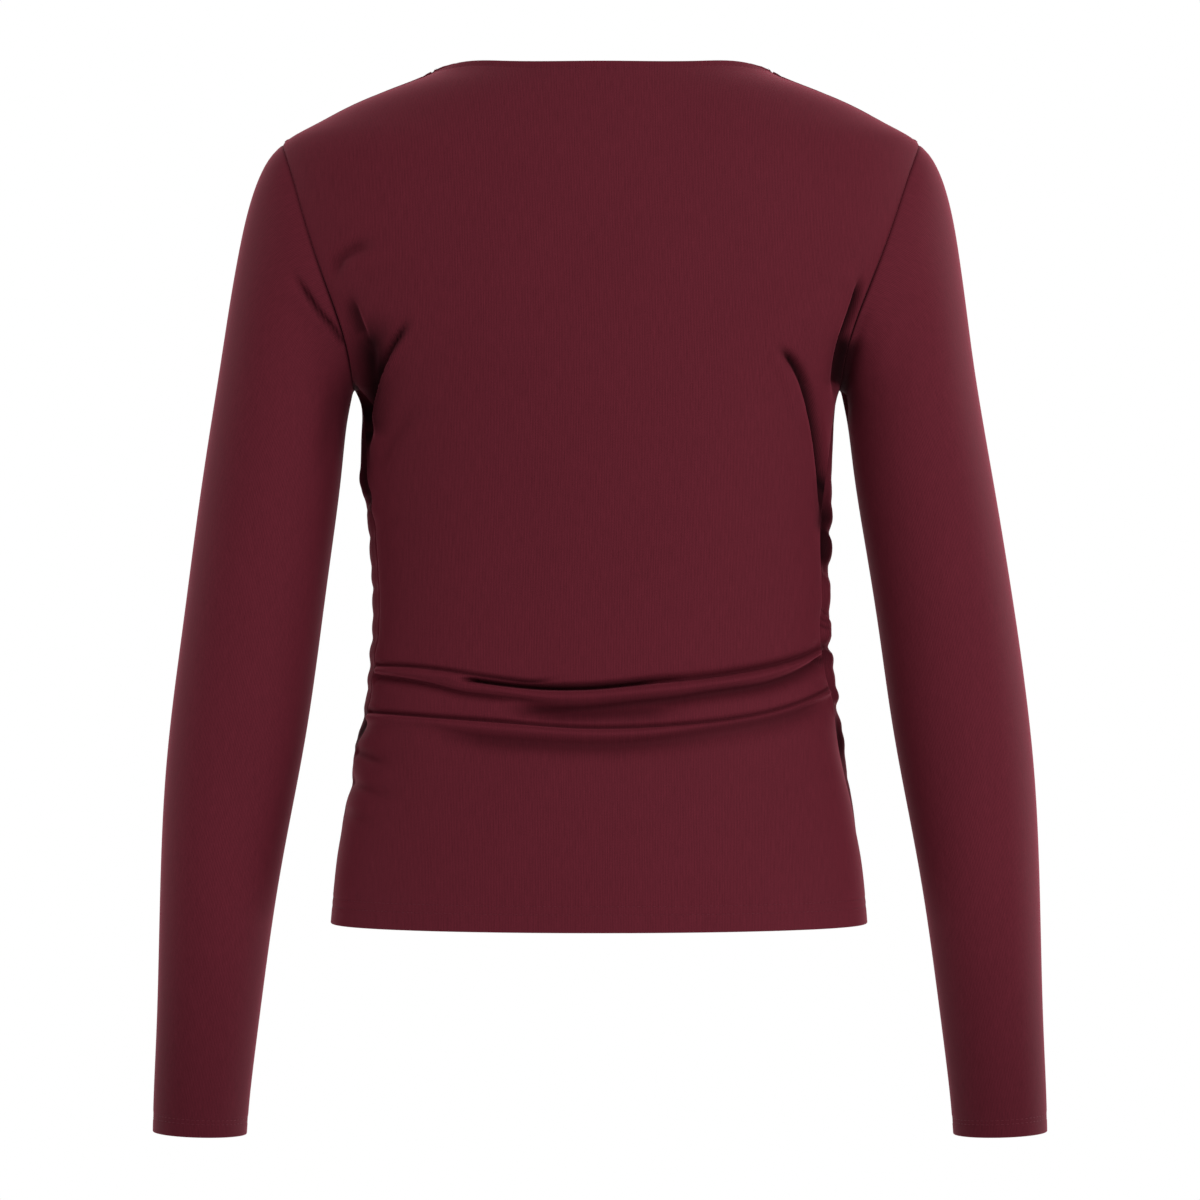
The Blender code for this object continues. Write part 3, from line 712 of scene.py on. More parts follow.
def extended(grid, before, after):
    """A grid with its first row repeated before it, and its last row after it."""
    return np.pad(grid, [(before, after)] + [(0, 0)] * (grid.ndim - 1), mode="edge")


def path_lengths(points, axis):
    """Lengths along a grid from its middle column, or from its first row."""
    step = np.linalg.norm(np.diff(points, axis=axis), axis=-1)
    pad = [(0, 0), (0, 0)]
    pad[axis] = (1, 0)
    total = np.pad(np.cumsum(step, axis=axis), pad)
    if axis == 1:
        total = total - total[:, total.shape[1] // 2][:, None]
    return total


def put(name, data):
    """A new object in the scene, at the origin."""
    made = bpy.data.objects.new(name, data)
    bpy.context.scene.collection.objects.link(made)
    return made


def quads(row, column, beside, width):
    """The four corners of each face of a grid whose rows hold that many points."""
    low, high = row * width, (row + 1) * width
    return np.stack([low + column, high + column, high + beside, low + beside], axis=-1).reshape(-1, 4)


def make_piece(name, points, uv, shade, wraps, turned, material):
    """A cut piece of cloth: a surface through the grid, with its thickness inwards, and each point's
    painted shade kept as an attribute.
    """
    rows, columns = points.shape[:2]
    across = columns if wraps else columns - 1
    row, column = np.meshgrid(np.arange(rows - 1), np.arange(across), indexing="ij")
    corners = quads(row, column, (column + 1) % columns, columns)
    uv_corners = quads(row, column, column + 1, uv.shape[1])
    if turned:
        corners, uv_corners = corners[:, ::-1], uv_corners[:, ::-1]
    mesh = bpy.data.meshes.new(name)
    mesh.from_pydata((points.reshape(-1, 3) * MM).tolist(), [], corners.tolist())
    layer = mesh.uv_layers.new(name="cloth")
    laid = uv.reshape(-1, 2)[uv_corners.reshape(-1)] * MM
    layer.data.foreach_set("uv", laid.reshape(-1).astype(np.float32))
    # Each point's painted shade, which darkens the cloth's colour in the material.
    painted_shade = mesh.attributes.new("painted_shade", "FLOAT", "POINT")
    painted_shade.data.foreach_set("value", shade.reshape(-1).astype(np.float32))
    mesh.shade_smooth()
    mesh.materials.append(material)
    piece = put(name, mesh)
    wall = piece.modifiers.new("Cloth thickness", "SOLIDIFY")
    wall.thickness = CLOTH_THICKNESS * MM
    wall.offset = -1
    wall.use_even_offset = False
    wall.use_rim = True
    return piece


def armhole_edge(climbs, is_back):
    """A panel's left armhole edge at those climbs: its points, and the cloth's outward normals there."""
    places = np.array([BESIDE_ARMHOLE, 1.0])
    rows = upper_rows(climbs[:, None] + 0 * places, places, places * SHOULDER_HALF_WIDTH, is_back)
    edge = rows[:, 1]
    upwards = np.gradient(rows[:, 0], axis=0) * np.sign(climbs[-1] - climbs[0])
    normal = unit(np.cross(upwards, edge - rows[:, 0]) * (1 if is_back else -1))
    # Both panels share one normal at the shoulder point and at the underarm.
    low = ease(climbs[:, None] / SHARED_NORMALS[0])
    high = ease((1 - climbs[:, None]) / SHARED_NORMALS[1])
    normal = normal * low * high + RIDGE_NORMAL * (1 - high) + np.array((1.0, 0, 0)) * (1 - low)
    return edge, unit(normal)


# The step over which the ridge's slope is measured, and how far before the shoulder point it ends.
RIDGE_STEP = 0.5
RIDGE_END = 3.0


def ridge_normals(widths):
    """Unit normals of the shoulder ridge, on the plane of x and z, at distances from the middle."""
    step = RIDGE_STEP
    away = np.abs(widths)
    rise = (top_height(away + step, True) - top_height(away - step, True)) / (2 * step)
    # The ridge ends at the shoulder point, so its last slope is read a little before it.
    last = rise[away < SHOULDER_HALF_WIDTH - RIDGE_END][0]
    rise = np.where(away > SHOULDER_HALF_WIDTH - step, last, rise)
    return unit(np.stack([-rise * np.sign(widths), 0 * widths, 1 + 0 * widths], axis=-1))


RIDGE_NORMAL = ridge_normals(np.array([SHOULDER_HALF_WIDTH - RIDGE_END - 1]))[0]


def panel_grid(is_back):
    """One body panel with its folds, without its turned edges and seam allowances.

    Gives its points, the plain form's points, that form's outward normals and the shade painted on each
    point.
    """
    places = column_places()
    widths = column_widths(places)
    heights = row_heights(BACK_ROWS if is_back else FRONT_ROWS)
    climbs = row_climbs(widths)
    below = lower_rows(heights, places, is_back)
    above = upper_rows(climbs, places, widths, is_back)
    flat = np.concatenate([below, above])
    facing = 1 if is_back else -1
    outward = grid_normals(flat, wraps=False) * facing
    low = len(heights)
    # The two panels meet along the side seams, so their normals there come from one wider strip.
    strip = grid_normals(lower_rows(heights, SIDE_STRIP, is_back), wraps=False) * facing
    outward[:low, 0], outward[:low, -1] = strip[:, 1], strip[:, 4]
    edge_normal = armhole_edge(climbs[:, -1], is_back)[1]
    outward[low:, -1] = edge_normal
    outward[low:, 0] = edge_normal * (-1, 1, 1)
    on_shoulder = np.abs(widths) > NECK_HALF_WIDTH + 1e-6
    outward[-1, on_shoulder] = ridge_normals(widths)[on_shoulder]

    height = flat[..., 2]
    from_right, from_left = edge_distances(flat)
    edge = np.minimum(from_right, from_left)
    rise, shade = fold_relief(BACK_FOLDS if is_back else FRONT_FOLDS, flat, outward)
    if not is_back:
        gathered, gather_shade = gather_relief(height, from_right, from_left)
        rise = rise + gathered
        shade = np.maximum(shade, gather_shade)
    rise = rise * (1 - np.exp(-(edge / FOLDS_START) ** 2)) + seam_line_rise(height, from_right, from_left)
    rise = rise - groove(height - HEM_HEIGHT, HEM_STITCHES)
    from_top = np.linalg.norm(flat - flat[-1:], axis=-1)
    row = np.arange(len(flat))[:, None]
    # Painted shade beside the armhole seams.
    shade = np.maximum(shade, armhole_seam_shade(height, edge) * (row >= low))
    at_neck = (row > low) & ~on_shoulder
    rise = rise - np.where(at_neck, groove(from_top, NECK_STITCHES), 0)
    dip = seam_dip(edge)
    top_dip = seam_dip(from_top) * ease((np.abs(widths) - NECK_HALF_WIDTH) / CORNER_DIP_GROWS)
    dip = np.where(on_shoulder & (row > low), np.maximum(dip, top_dip), dip)
    points = flat + outward * (rise - dip)[..., None]
    points[..., 0] += LEAN.read("shift", height)
    return points, flat, outward, shade


def panel(name, is_back, material):
    """A body panel as a piece, with its turned edges and seam allowances, and its stitch lines."""
    points, flat, form_normal, shade = panel_grid(is_back)
    facing = 1 if is_back else -1
    widths = column_widths(column_places())
    outward = grid_normals(points, wraps=False) * facing
    hem_rows = turned_edge(points[:EDGE_ROWS], outward[:EDGE_ROWS], HEM_TURN, HEM_STEPS)

    # The neckline is turned in like the hem; beside it the shoulder's seam allowance goes straight down.
    neck = np.abs(widths) <= NECK_HALF_WIDTH + 1e-6
    depths = np.linspace(0, ALLOWANCE_DEPTHS[-1], TURN_ANGLES + NECK_STEPS + 1)[1:]
    top_rows = points[-1] - ridge_normals(widths) * depths[:, None, None]
    from_top = points[:-TOP_ROWS:-1]
    smooth_normals = outward[:-TOP_ROWS:-1].copy()
    smooth_normals[:NECK_CLOSE_ROWS] = smooth_normals[NECK_CLOSE_ROWS]
    roundness = ease((NECK_HALF_WIDTH - np.abs(widths[neck])) / NECK_TURN_GROWS)[:, None]
    top_rows[:, neck] = turned_edge(from_top[:, neck], smooth_normals[:, neck],
                                    NECK_TURN, NECK_STEPS, roundness)

    up = path_lengths(flat, 0)
    up = np.concatenate([up[0] - steps_from(points[:1], hem_rows)[::-1], up,
                         up[-1] + steps_from(points[-1:], top_rows)])
    whole = np.concatenate([hem_rows[::-1], points, top_rows])
    around, outwards, shade = (extended(grid, len(hem_rows), len(top_rows))
                               for grid in (path_lengths(flat, 1), form_normal, shade))
    shade[-len(top_rows):] = 0
    # Seam allowances along the side seams and the armholes.
    depths = ALLOWANCE_DEPTHS
    right = whole[:, :1] - outwards[:, :1] * depths[::-1, None]
    left = whole[:, -1:] - outwards[:, -1:] * depths[:, None]
    whole = np.concatenate([right, whole, left], axis=1)
    around = np.concatenate([around[:, :1] - depths[::-1], around, around[:, -1:] + depths], axis=1)
    beside = [(0, 0), (len(depths), len(depths))]
    up = np.pad(up, beside, mode="edge")
    # The side and armhole seam allowances get painted shade.
    shade = np.pad(shade, beside, constant_values=SEAM_ALLOWANCE_SHADE)
    piece = make_piece(name, whole, np.stack([around, up], axis=-1), shade, False, not is_back, material)
    return piece, panel_stitch_lines(points, flat, outward, neck)


def stitch_line(place, places, points, outward):
    """A stitch line right across a grid, at a place between two of its rows."""
    row = np.searchsorted(places, place)
    share = (place - places[row - 1]) / (places[row] - places[row - 1])
    return points[row - 1] + (points[row] - points[row - 1]) * share + outward[row] * STITCH_LIFT


def panel_stitch_lines(points, flat, outward, neck):
    """The stitch lines of a panel: two along the hem and one along the neckline."""
    heights = flat[:, 0, 2]
    lines = [stitch_line(HEM_HEIGHT + distance, heights, points, outward) for distance in HEM_STITCHES]
    for distance in NECK_STITCHES:
        line = []
        for column in np.flatnonzero(neck):
            path = points[::-1, column][:EDGE_ROWS]
            spot = points_at(distance, lengths_along(path), path)
            line.append(spot + outward[-1 - NECK_STITCH_ROW, column] * STITCH_LIFT)
        lines.append(np.array(line))
    return lines


def armhole_loop(count):
    """The left armhole as a ring: from the shoulder point down the back, under the arm and up the front.

    Gives its points and the body's outward normals there.
    """
    climbs = np.linspace(1, 0, ARMHOLE_SAMPLES)
    ring, normals = [], []
    for is_back in (True, False):
        edge, normal = armhole_edge(climbs, is_back)
        away = unit(np.cross(np.gradient(edge, axis=0), normal) * (1 if is_back else -1))
        edge = edge + away * ARMHOLE_TRIM
        if not is_back:
            edge, normal = edge[::-1], normal[::-1]
        travelled = lengths_along(edge)
        even = np.linspace(0, travelled[-1], count // 2 + 1)[:-1]
        ring.append(points_at(even, travelled, edge))
        normals.append(points_at(even, travelled, normal))
    ring, normals = np.concatenate(ring), np.concatenate(normals)
    ring[[0, count // 2], 1] = 0
    return ring, unit(normals)


def sleeve_surface(rings, count):
    """The left sleeve as rings that turn from the armhole's own shape into ellipses."""
    loop = armhole_loop(count)[0]
    angle = np.arange(count) * 2 * np.pi / count

    def ring_frame(ring):
        outer = np.array([SLEEVE.read("outer_side", ring), 0, SLEEVE.read("outer_height", ring)])
        inner = np.array([SLEEVE.read("inner_side", ring), 0, SLEEVE.read("inner_height", ring)])
        reach = (outer - inner) / 2
        length = np.linalg.norm(reach)
        return (outer + inner) / 2, reach / length, length, np.cross(reach / length, (0, 1, 0))

    centre, toward, length, past = ring_frame(0.0)
    loop_along = (loop - centre) @ toward / length
    loop_past = (loop - centre) @ past
    points = []
    for ring in rings:
        centre, toward, length, past = ring_frame(float(ring))
        share = ease(ring / CAP_RINGS)
        along = (1 - share) * loop_along + share * np.cos(angle)
        deep = (1 - share) * loop[:, 1] + share * SLEEVE.read("half_depth", ring) * np.sin(angle)
        deep = deep - SLEEVE.read("forward", ring)
        spot = centre + np.outer(along * length, toward) + np.outer((1 - share) * loop_past, past)
        spot[:, 1] = deep
        points.append(spot)
    return np.array(points)


# The sleeves move sideways with the armholes; below the underarm that fades over this reach.
LEAN_REACH = 170.0
SLEEVE_SAMPLES = 800

# Folds of the sleeves, on the plane of x and z, for the back half and the front half.
# x is the distance from the middle of the body, so both sleeves read alike.
LEFT_SLEEVE_BACK = [
    (-4.2, 2, 2.4, 22, 6, 0.8, 2,
     [(186, -122), (180, -130.5), (172.5, -141), (165.5, -150.5), (158.5, -158.5), (153.5, -163.5),
      (150, -167)]),
    (1.8, 3, 4, 22, 8, 0, 2, [(182, -133), (174, -144), (166, -154), (158, -164), (152, -172)]),
    (-1.6, 5, 5, 18, 30, 0.1, 2, [(158, -186), (161, -205), (166, -228), (172, -252)]),
]
RIGHT_SLEEVE_BACK = [
    (-2.4, 4.5, 5, 22, 18, 0.3, 2, [(166, -138), (160, -148), (156, -158), (153, -170), (151, -186)]),
    (-2.6, 8, 7, 14, 24, 0.95, 0.9,
     [(155, -158), (152.5, -170), (151.5, -182), (151.5, -194), (153, -208), (155, -222)]),
    (1.4, 8, 8, 24, 30, 0, 2, [(182, -140), (175, -158), (171, -180), (172, -204)]),
]
SLEEVE_FRONT = [
    (-2, 5, 5, 24, 14, 0, 2, [(186, -132), (176, -146), (167, -160), (159, -174), (154, -186)]),
    (-1.4, 6, 8, 26, 34, 0, 2, [(196, -372), (212, -381), (230, -386), (248, -384)]),
    (-1.2, 7, 6, 24, 30, 0, 2, [(192, -352), (206, -360), (222, -362), (238, -358)]),
    (1.2, 7, 7, 24, 34, 0, 2, [(193, -362), (210, -370), (228, -374), (244, -371)]),
]


def sleeve(name, is_left, material):
    """A sleeve as a piece, with its turned cuff and seam allowance, and its stitch lines."""
    fine = np.linspace(0, SLEEVE.places[-1], SLEEVE_SAMPLES)
    guide = sleeve_surface(fine, 4)
    travelled = np.linalg.norm(np.diff(guide, axis=0), axis=-1).mean(axis=1)
    travelled = np.concatenate([[0], np.cumsum(travelled)])
    length = travelled[-1]
    plain = np.linspace(SLEEVE_SPACING, length - CUFF_FINE, int((length - CUFF_FINE) / SLEEVE_SPACING))
    close = np.linspace(length - CUFF_FINE, length, int(CUFF_FINE / CUFF_SPACING) + 1)[1:]
    along = np.concatenate([[0], CAP_RING_DISTANCES, plain, close])
    rings = np.interp(along, travelled, fine)
    flat = sleeve_surface(rings, SLEEVE_AROUND)
    outward = grid_normals(flat, wraps=True)
    from_armhole = np.linalg.norm(flat - flat[:1], axis=-1)
    from_cuff = (length - along)[:, None] + 0 * from_armhole
    is_rear = flat[..., 1] > -SLEEVE.read("forward", rings)[:, None]
    rear, rear_shade = fold_relief(LEFT_SLEEVE_BACK if is_left else RIGHT_SLEEVE_BACK, flat, outward)
    front, front_shade = fold_relief(SLEEVE_FRONT, flat, outward)
    rise = np.where(is_rear, rear, front)
    shade = np.where(is_rear, rear_shade, front_shade)
    # Painted shade beside the armhole seam.
    shade = np.maximum(shade, armhole_seam_shade(flat[..., 2], from_armhole))
    # Painted shade that grows towards the cuff.
    shade = np.maximum(shade, CUFF_PAINTED_SHADE * ease(1 - from_cuff / CUFF_PAINTED_SHADE_REACH))
    rise = rise * (1 - np.exp(-(from_armhole / FOLDS_START) ** 2)) - groove(from_cuff, CUFF_STITCHES)
    _, seam_normal = armhole_loop(SLEEVE_AROUND)
    points = flat + outward * rise[..., None] - seam_normal * seam_dip(from_armhole)[..., None]
    outward = grid_normals(points, wraps=True)
    # One more column on either side for a moment, so that the turned edge's heading is right all round.
    cuff_points, cuff_normals = (np.pad(grid[:-EDGE_ROWS:-1], [(0, 0), (1, 1), (0, 0)], mode="wrap")
                                 for grid in (points, outward))
    cuff_rows = turned_edge(cuff_points, cuff_normals, CUFF_TURN, CUFF_STEPS)[:, 1:-1]
    closed = np.concatenate([flat, flat[:, :1]], axis=1)
    around = path_lengths(closed, 1)
    up = -path_lengths(closed, 0)
    cuff_steps = np.pad(steps_from(points[-1:], cuff_rows), [(0, 0), (0, 1)], mode="wrap")
    depths = ALLOWANCE_DEPTHS[::-1]
    allowance = points[:1] - seam_normal[None] * depths[:, None, None]
    up = np.concatenate([up[:1] + depths[:, None], up, up[-1] - cuff_steps])
    around = extended(around, len(depths), len(cuff_rows))

    def placed(spots):
        """Mirrored for the right arm, and moved sideways with the armhole."""
        spots = spots if is_left else spots * (-1, 1, 1)
        fade = 1 - ease(np.abs(spots[..., 2] - UNDERARM_HEIGHT) / LEAN_REACH)
        near_edge = np.clip(spots[..., 2], UNDERARM_HEIGHT, SHOULDER_HEIGHT)
        shift = LEAN.read("shift", near_edge) * np.where(spots[..., 2] < UNDERARM_HEIGHT, fade, 1)
        return spots + np.stack([shift, 0 * shift, 0 * shift], axis=-1)

    lines = []
    for distance in CUFF_STITCHES:
        line = stitch_line(length - distance, along, points, outward)
        lines.append(placed(np.concatenate([line, line[:1]])))
    whole = placed(np.concatenate([allowance, points, cuff_rows]))
    # The armhole's seam allowance gets painted shade, and the turned cuff none.
    shade = np.concatenate([0 * shade[:len(depths)] + SEAM_ALLOWANCE_SHADE, shade, 0 * shade[:len(cuff_rows)]])
    piece = make_piece(name, whole, np.stack([around, up], axis=-1), shade, True, not is_left, material)
    return piece, lines


# Materials


def fill(tree, node, inputs):
    """Puts a value, or another node's output, on each of a node's inputs by name or number."""
    for name, value in inputs.items():
        if isinstance(value, bpy.types.NodeSocket):
            tree.links.new(value, node.inputs[name])
        else:
            node.inputs[name].default_value = value
    return node


def add(tree, kind, inputs=None, **settings):
    """A new node with its settings and inputs."""
    node = tree.nodes.new(kind)
    for name, value in settings.items():
        setattr(node, name, value)
    return fill(tree, node, inputs or {})


def maths(tree, operation, *values):
    """The output of a Math node on sockets or numbers."""
    return add(tree, "ShaderNodeMath", dict(enumerate(values)), operation=operation).outputs[0]


def group_ends(tree, inputs, outputs):
    """Makes a group's sockets, each a name, a kind and, for some, a value, and then its two end nodes."""
    for rows, way in ((inputs, "INPUT"), (outputs, "OUTPUT")):
        for name, kind, *value in rows:
            socket = tree.interface.new_socket(name=name, in_out=way, socket_type="NodeSocket" + kind)
            if value:
                socket.default_value = value[0]
    return tree.nodes.new("NodeGroupInput").outputs, tree.nodes.new("NodeGroupOutput")


# Sizes of the jersey's unevenness, in metres or for each metre, and the shares that its parts have.
WALE_LEAN = 0.0016
GRAIN_SHARES = (0.6, 0.4)
WALE_SHARE = 0.18
# How far the painted shade darkens the colour where it is full.
PAINTED_SHADE_DARKENS = 0.95
ROUGHNESS_VARIES = 0.12
COURSE_RELIEF = 0.3
SPECK_RELIEF = 1.2


def jersey_group():
    """Fine upright wales, short streaks of uneven yarn and slow mottling, on the piece's own UV, and the
    colour brightened by a painted sheen and darkened by painted shade.
    """
    tree = bpy.data.node_groups.new("fine_jersey", "ShaderNodeTree")
    given, result = group_ends(
        tree,
        (
            ("Cloth", "Vector"), ("Colour", "Color", (0.1, 0.014, 0.024, 1)),
            ("Wale width", "Float", 0.0009), ("Course height", "Float", 0.0007),
            ("Streaks", "Float", 0.12), ("Mottling", "Float", 0.08),
            ("Roughness", "Float", 0.6), ("Crease", "Float", 0.0), ("Nap", "Float", 0.0),
        ),
        (("Colour", "Color"), ("Roughness", "Float"), ("Height", "Float")),
    )
    u, v, _ = add(tree, "ShaderNodeSeparateXYZ", {0: given["Cloth"]}).outputs

    def on(operation, *values):
        return maths(tree, operation, *values)

    def noise(scale_u, scale_v, detail):
        """Noise with its own scale across and along the cloth."""
        scaled = {0: on("MULTIPLY", u, scale_u), 1: on("MULTIPLY", v, scale_v)}
        place = add(tree, "ShaderNodeCombineXYZ", scaled).outputs[0]
        inputs = {"Vector": place, "Scale": 1.0, "Detail": detail, "Roughness": 0.6}
        return add(tree, "ShaderNodeTexNoise", inputs).outputs[0]

    # Wales lean a little from side to side on their way up.
    lean = on("MULTIPLY", on("SUBTRACT", noise(60, 9, 2), 0.5), WALE_LEAN)
    wale = on("SINE", on("MULTIPLY", on("DIVIDE", on("ADD", u, lean), given["Wale width"]), 2 * np.pi))
    course = on("SINE", on("MULTIPLY", on("DIVIDE", v, given["Course height"]), 2 * np.pi))
    streak = noise(1500, 90, 3)
    speck = noise(1300, 1100, 2)
    slow = noise(22, 14, 4)
    grain = on("ADD", on("MULTIPLY", streak, GRAIN_SHARES[0]), on("MULTIPLY", speck, GRAIN_SHARES[1]))
    fine = on("MULTIPLY", on("SUBTRACT", grain, 0.5), given["Streaks"])
    fine = on("MULTIPLY_ADD", wale, on("MULTIPLY", given["Streaks"], WALE_SHARE), fine)
    broad = on("MULTIPLY", on("SUBTRACT", slow, 0.5), given["Mottling"])
    light = on("ADD", 1.0, on("ADD", fine, broad))
    # The painted sheen brightens the colour where the cloth turns away from the eye.
    light = on("MULTIPLY", light, on("ADD", 1.0, given["Nap"]))
    # The painted shade darkens the colour in creases, tucks, gathers, seams and towards the cuffs.
    light = on("MULTIPLY", light, on("MULTIPLY_ADD", given["Crease"], -PAINTED_SHADE_DARKENS, 1.0))
    relief = on("MULTIPLY_ADD", speck, SPECK_RELIEF, on("MULTIPLY_ADD", course, COURSE_RELIEF, wale))
    colour = add(tree, "ShaderNodeVectorMath", {0: given["Colour"], "Scale": light}, operation="SCALE")
    fill(tree, result, {
        "Colour": colour.outputs[0],
        "Roughness": on("MULTIPLY_ADD", on("SUBTRACT", streak, 0.5), ROUGHNESS_VARIES, given["Roughness"]),
        "Height": relief,
    })
    return tree


PAINTED_SHEEN_POWER = 5.0
PAINTED_SHEEN_BRIGHTNESS = 2.2


def new_material(name):
    """A new material, its node tree and its shader."""
    material = bpy.data.materials.new(name)
    material.use_nodes = True
    return material, material.node_tree, material.node_tree.nodes["Principled BSDF"]


def jersey_material(name, group, colour):
    material, tree, shader = new_material(name)
    # Painted sheen: the colour is brightened where the cloth turns away from the eye.
    away = add(tree, "ShaderNodeLayerWeight", {"Blend": 0.5}).outputs["Facing"]
    knit = add(tree, "ShaderNodeGroup", node_tree=group)
    # The painted shade comes from each point's attribute.
    fill(tree, knit, {
        "Cloth": add(tree, "ShaderNodeUVMap", uv_map="cloth").outputs[0],
        "Crease": add(tree, "ShaderNodeAttribute", attribute_name="painted_shade").outputs["Fac"],
        "Nap": maths(tree, "MULTIPLY", maths(tree, "POWER", away, PAINTED_SHEEN_POWER), PAINTED_SHEEN_BRIGHTNESS),
        "Colour": (*colour, 1), "Wale width": 0.00095, "Course height": 0.0007,
        "Streaks": 0.95, "Mottling": 0.12, "Roughness": 0.6,
    })
    relief = {"Strength": 0.25, "Distance": 0.00006, "Height": knit.outputs["Height"]}
    fill(tree, shader, {
        "Base Color": knit.outputs["Colour"], "Roughness": knit.outputs["Roughness"],
        "Normal": add(tree, "ShaderNodeBump", relief).outputs[0],
        "Specular IOR Level": 0.06, "Specular Tint": (1.0, 0.42, 0.5, 1),
        "Sheen Weight": 0.12, "Sheen Roughness": 0.42, "Sheen Tint": (1.0, 0.25, 0.34, 1),
    })
    return material


def thread_material(group, colour):
    """Thread a little brighter than the cloth, with its own fine unevenness."""
    material, tree, shader = new_material("burgundy_thread")
    spun = add(tree, "ShaderNodeGroup", node_tree=group)
    fill(tree, spun, {
        "Cloth": add(tree, "ShaderNodeTexCoord").outputs["Object"],
        "Colour": (*colour, 1), "Wale width": 0.0004, "Course height": 0.0004,
        "Streaks": 0.5, "Mottling": 0.1, "Roughness": 0.5,
    })
    fill(tree, shader, {
        "Base Color": spun.outputs["Colour"], "Roughness": spun.outputs["Roughness"],
        "Specular IOR Level": 0.3, "Specular Tint": (1.0, 0.45, 0.52, 1),
    })
    return material


# Pieces

knit = jersey_group()
back_cloth = jersey_material("back_jersey", knit, (0.100, 0.0131, 0.0217))
front_cloth = jersey_material("front_jersey", knit, (0.100, 0.0131, 0.0217))
sleeve_cloth = jersey_material("sleeve_jersey", knit, (0.103, 0.0137, 0.0229))

STITCH_PITCH = 3.1
STITCH_LENGTH = 2.4
THREAD_WIDTH = 0.36
STITCH_LIFT = 0.02
UNEVENNESS = 0.12
STITCH_SEED = 7


def stitch_tree():
    """Stitches spaced evenly along each line of a mesh's edges."""
    tree = bpy.data.node_groups.new("stitches_along_lines", "GeometryNodeTree")
    given, result = group_ends(
        tree,
        (
            ("Lines", "Geometry"), ("Pitch", "Float", STITCH_PITCH * MM),
            ("Stitch length", "Float", STITCH_LENGTH * MM), ("Thread width", "Float", THREAD_WIDTH * MM),
            ("Unevenness", "Float", UNEVENNESS), ("Thread", "Material"),
        ),
        (("Stitches", "Geometry"),),
    )
    curve = add(tree, "GeometryNodeMeshToCurve", {0: given["Lines"]})
    spaced = add(tree, "GeometryNodeResampleCurve", mode="LENGTH")
    fill(tree, spaced, {"Curve": curve.outputs[0], "Length": given["Pitch"]})
    ball = add(tree, "GeometryNodeMeshUVSphere", {"Segments": 6, "Rings": 5, "Radius": 0.5})
    wide = given["Thread width"]
    size = add(tree, "ShaderNodeCombineXYZ", {0: given["Stitch length"], 1: wide, 2: wide})
    stitch = add(tree, "GeometryNodeTransform", {"Geometry": ball.outputs[0], "Scale": size.outputs[0]})
    smooth = add(tree, "GeometryNodeSetShadeSmooth", {"Geometry": stitch.outputs[0]})
    along = add(tree, "GeometryNodeInputTangent")
    turn = add(tree, "FunctionNodeAlignRotationToVector", {"Vector": along.outputs[0]}, axis="X")
    uneven = add(tree, "FunctionNodeRandomValue", data_type="FLOAT")
    fill(tree, uneven, {"Seed": STITCH_SEED, 2: maths(tree, "SUBTRACT", 1.0, given["Unevenness"]), 3: 1.0})
    placed = add(tree, "GeometryNodeInstanceOnPoints", {
        "Points": spaced.outputs[0], "Instance": smooth.outputs[0],
        "Rotation": turn.outputs[0], "Scale": uneven.outputs[1],
    })
    real = add(tree, "GeometryNodeRealizeInstances", {0: placed.outputs[0]})
    coloured = {"Geometry": real.outputs[0], "Material": given["Thread"]}
    fill(tree, result, {"Stitches": add(tree, "GeometryNodeSetMaterial", coloured).outputs[0]})
    return tree


def stitches(name, lines, tree, thread):
    """A piece with the stitches of all those lines."""
    spots, edges = [], []
    for line in lines:
        first = len(spots)
        spots += [tuple(spot * MM) for spot in line]
        edges += [(first + i, first + i + 1) for i in range(len(line) - 1)]
    mesh = bpy.data.meshes.new(name + "_lines")
    mesh.from_pydata(spots, edges, [])
    piece = put(name, mesh)
    maker = piece.modifiers.new("Stitches", "NODES")
    maker.node_group = tree
    sockets = {item.name: item.identifier for item in tree.interface.items_tree if item.in_out == "INPUT"}
    for socket, value in (
        ("Pitch", STITCH_PITCH * MM), ("Stitch length", STITCH_LENGTH * MM),
        ("Thread width", THREAD_WIDTH * MM), ("Unevenness", UNEVENNESS), ("Thread", thread),
    ):
        maker[sockets[socket]] = value
    evaluated = piece.evaluated_get(bpy.context.evaluated_depsgraph_get())
    made = bpy.data.meshes.new_from_object(evaluated)
    made.name = name
    piece.modifiers.remove(maker)
    piece.data = made
    return piece


back, back_lines = panel("back_cloth", True, back_cloth)
front, front_lines = panel("front_cloth", False, front_cloth)
left, left_lines = sleeve("left_sleeve_cloth", True, sleeve_cloth)
right, right_lines = sleeve("right_sleeve_cloth", False, sleeve_cloth)

thread = thread_material(knit, (0.112, 0.0162, 0.0268))
stitching = stitch_tree()
back_stitches = stitches("back_stitches", back_lines, stitching, thread)
front_stitches = stitches("front_stitches", front_lines, stitching, thread)
left_stitches = stitches("left_cuff_stitches", left_lines, stitching, thread)
right_stitches = stitches("right_cuff_stitches", right_lines, stitching, thread)

for piece, seams, node, slot in (
    (back, back_stitches, "back_panel", "back_jersey"),
    (front, front_stitches, "front_panel", "front_jersey"),
    (left, left_stitches, "sleeve_left", "sleeve_jersey"),
    (right, right_stitches, "sleeve_right", "sleeve_jersey"),
):
    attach(piece, "root")
    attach(seams, "root")
    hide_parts(node)


# Studio

FLOOR_HEIGHT = -1.35
FLOOR_HALF_WIDTH = 3.6
# The camera stands behind the wearer, level with the middle of the photo. In metres, and the lens in mm.
CAMERA_DISTANCE = 3.0
CAMERA_HEIGHT = -0.323
CAMERA_LENS = 146.6
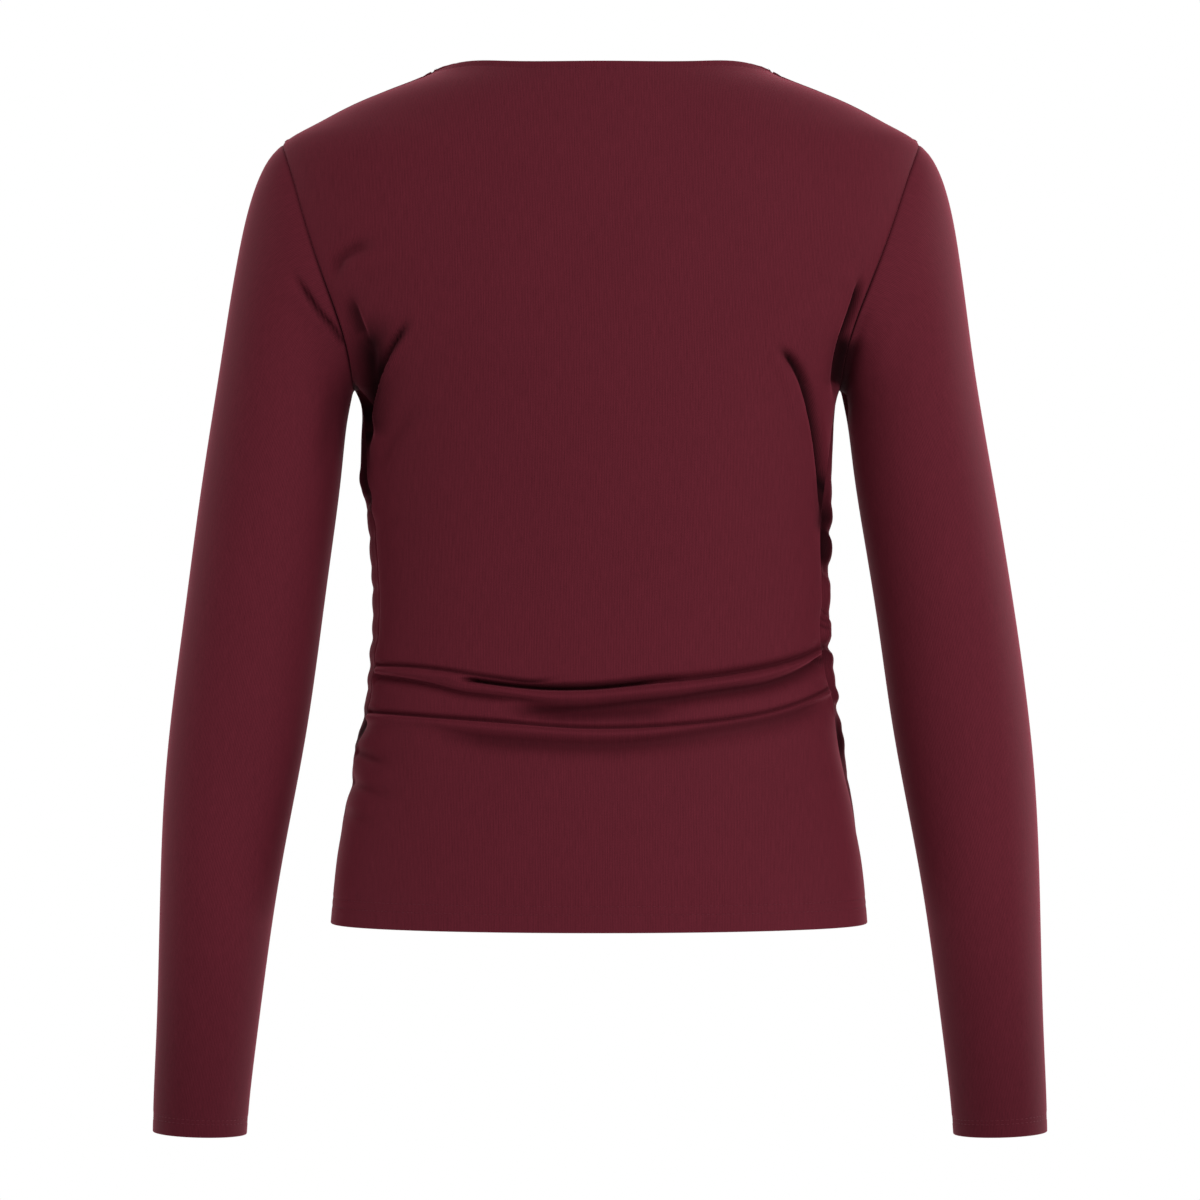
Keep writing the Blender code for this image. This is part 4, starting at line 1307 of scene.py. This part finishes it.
# Soft lights: place, what they point at, width and height, and power.
LIGHTS = {
    "key": ((-1.7, 2.9, 1.4), (0, 0, -0.3), (1.3, 1.5), 41),
    "right_side": ((-2.6, 1.6, -0.2), (0, 0, -0.33), (0.5, 1.9), 11),
    "right_strip": ((-2.1, -0.9, -0.1), (-0.1, 0, -0.33), (0.5, 2.2), 18),
    "left_strip": ((2.1, -0.9, -0.1), (0.1, 0, -0.33), (0.5, 2.2), 6),
}


def pale_floor():
    mesh = bpy.data.meshes.new("studio_floor")
    half = FLOOR_HALF_WIDTH
    corners = [(x * half, y * half, FLOOR_HEIGHT) for x, y in ((-1, -1), (1, -1), (1, 1), (-1, 1))]
    mesh.from_pydata(corners, [], [(0, 1, 2, 3)])
    floor = put("studio_floor", mesh)
    material, tree, shader = new_material("pale_floor")
    fill(tree, shader, {"Base Color": (0.86, 0.86, 0.86, 1), "Roughness": 0.8})
    mesh.materials.append(material)


def soft_light(name, place, aim, size, power):
    data = bpy.data.lights.new(name, "AREA")
    data.shape = "RECTANGLE"
    data.size, data.size_y = size
    data.energy = power
    light = put(name, data)
    light.location = place
    light.rotation_euler = (Vector(aim) - Vector(place)).to_track_quat("-Z", "Y").to_euler()


def studio_world(seen, lighting):
    """A white backdrop for the camera, and a dimmer even light for the cloth."""
    world = bpy.data.worlds.new("studio")
    bpy.context.scene.world = world
    world.use_nodes = True
    tree = world.node_tree
    dim = fill(tree, tree.nodes["Background"], {"Color": (1, 1, 1, 1), "Strength": lighting})
    white = add(tree, "ShaderNodeBackground", {"Color": (1, 1, 1, 1), "Strength": seen})
    to_camera = add(tree, "ShaderNodeLightPath").outputs["Is Camera Ray"]
    either = add(tree, "ShaderNodeMixShader", {0: to_camera, 1: dim.outputs[0], 2: white.outputs[0]})
    fill(tree, tree.nodes["World Output"], {"Surface": either.outputs[0]})


pale_floor()
studio_world(seen=1.0, lighting=0.64)
for name, light in LIGHTS.items():
    soft_light(name, *light)

camera_data = bpy.data.cameras.new("camera")
camera_data.lens = CAMERA_LENS
camera_data.sensor_width = 36
camera_data.clip_end = 100
camera = put("camera", camera_data)
camera.location = (0, CAMERA_DISTANCE, CAMERA_HEIGHT)
camera.rotation_euler = (np.pi / 2, 0, np.pi)
bpy.context.scene.camera = camera
bpy.context.scene.view_settings.view_transform = "Standard"

bpy.context.view_layer.update()
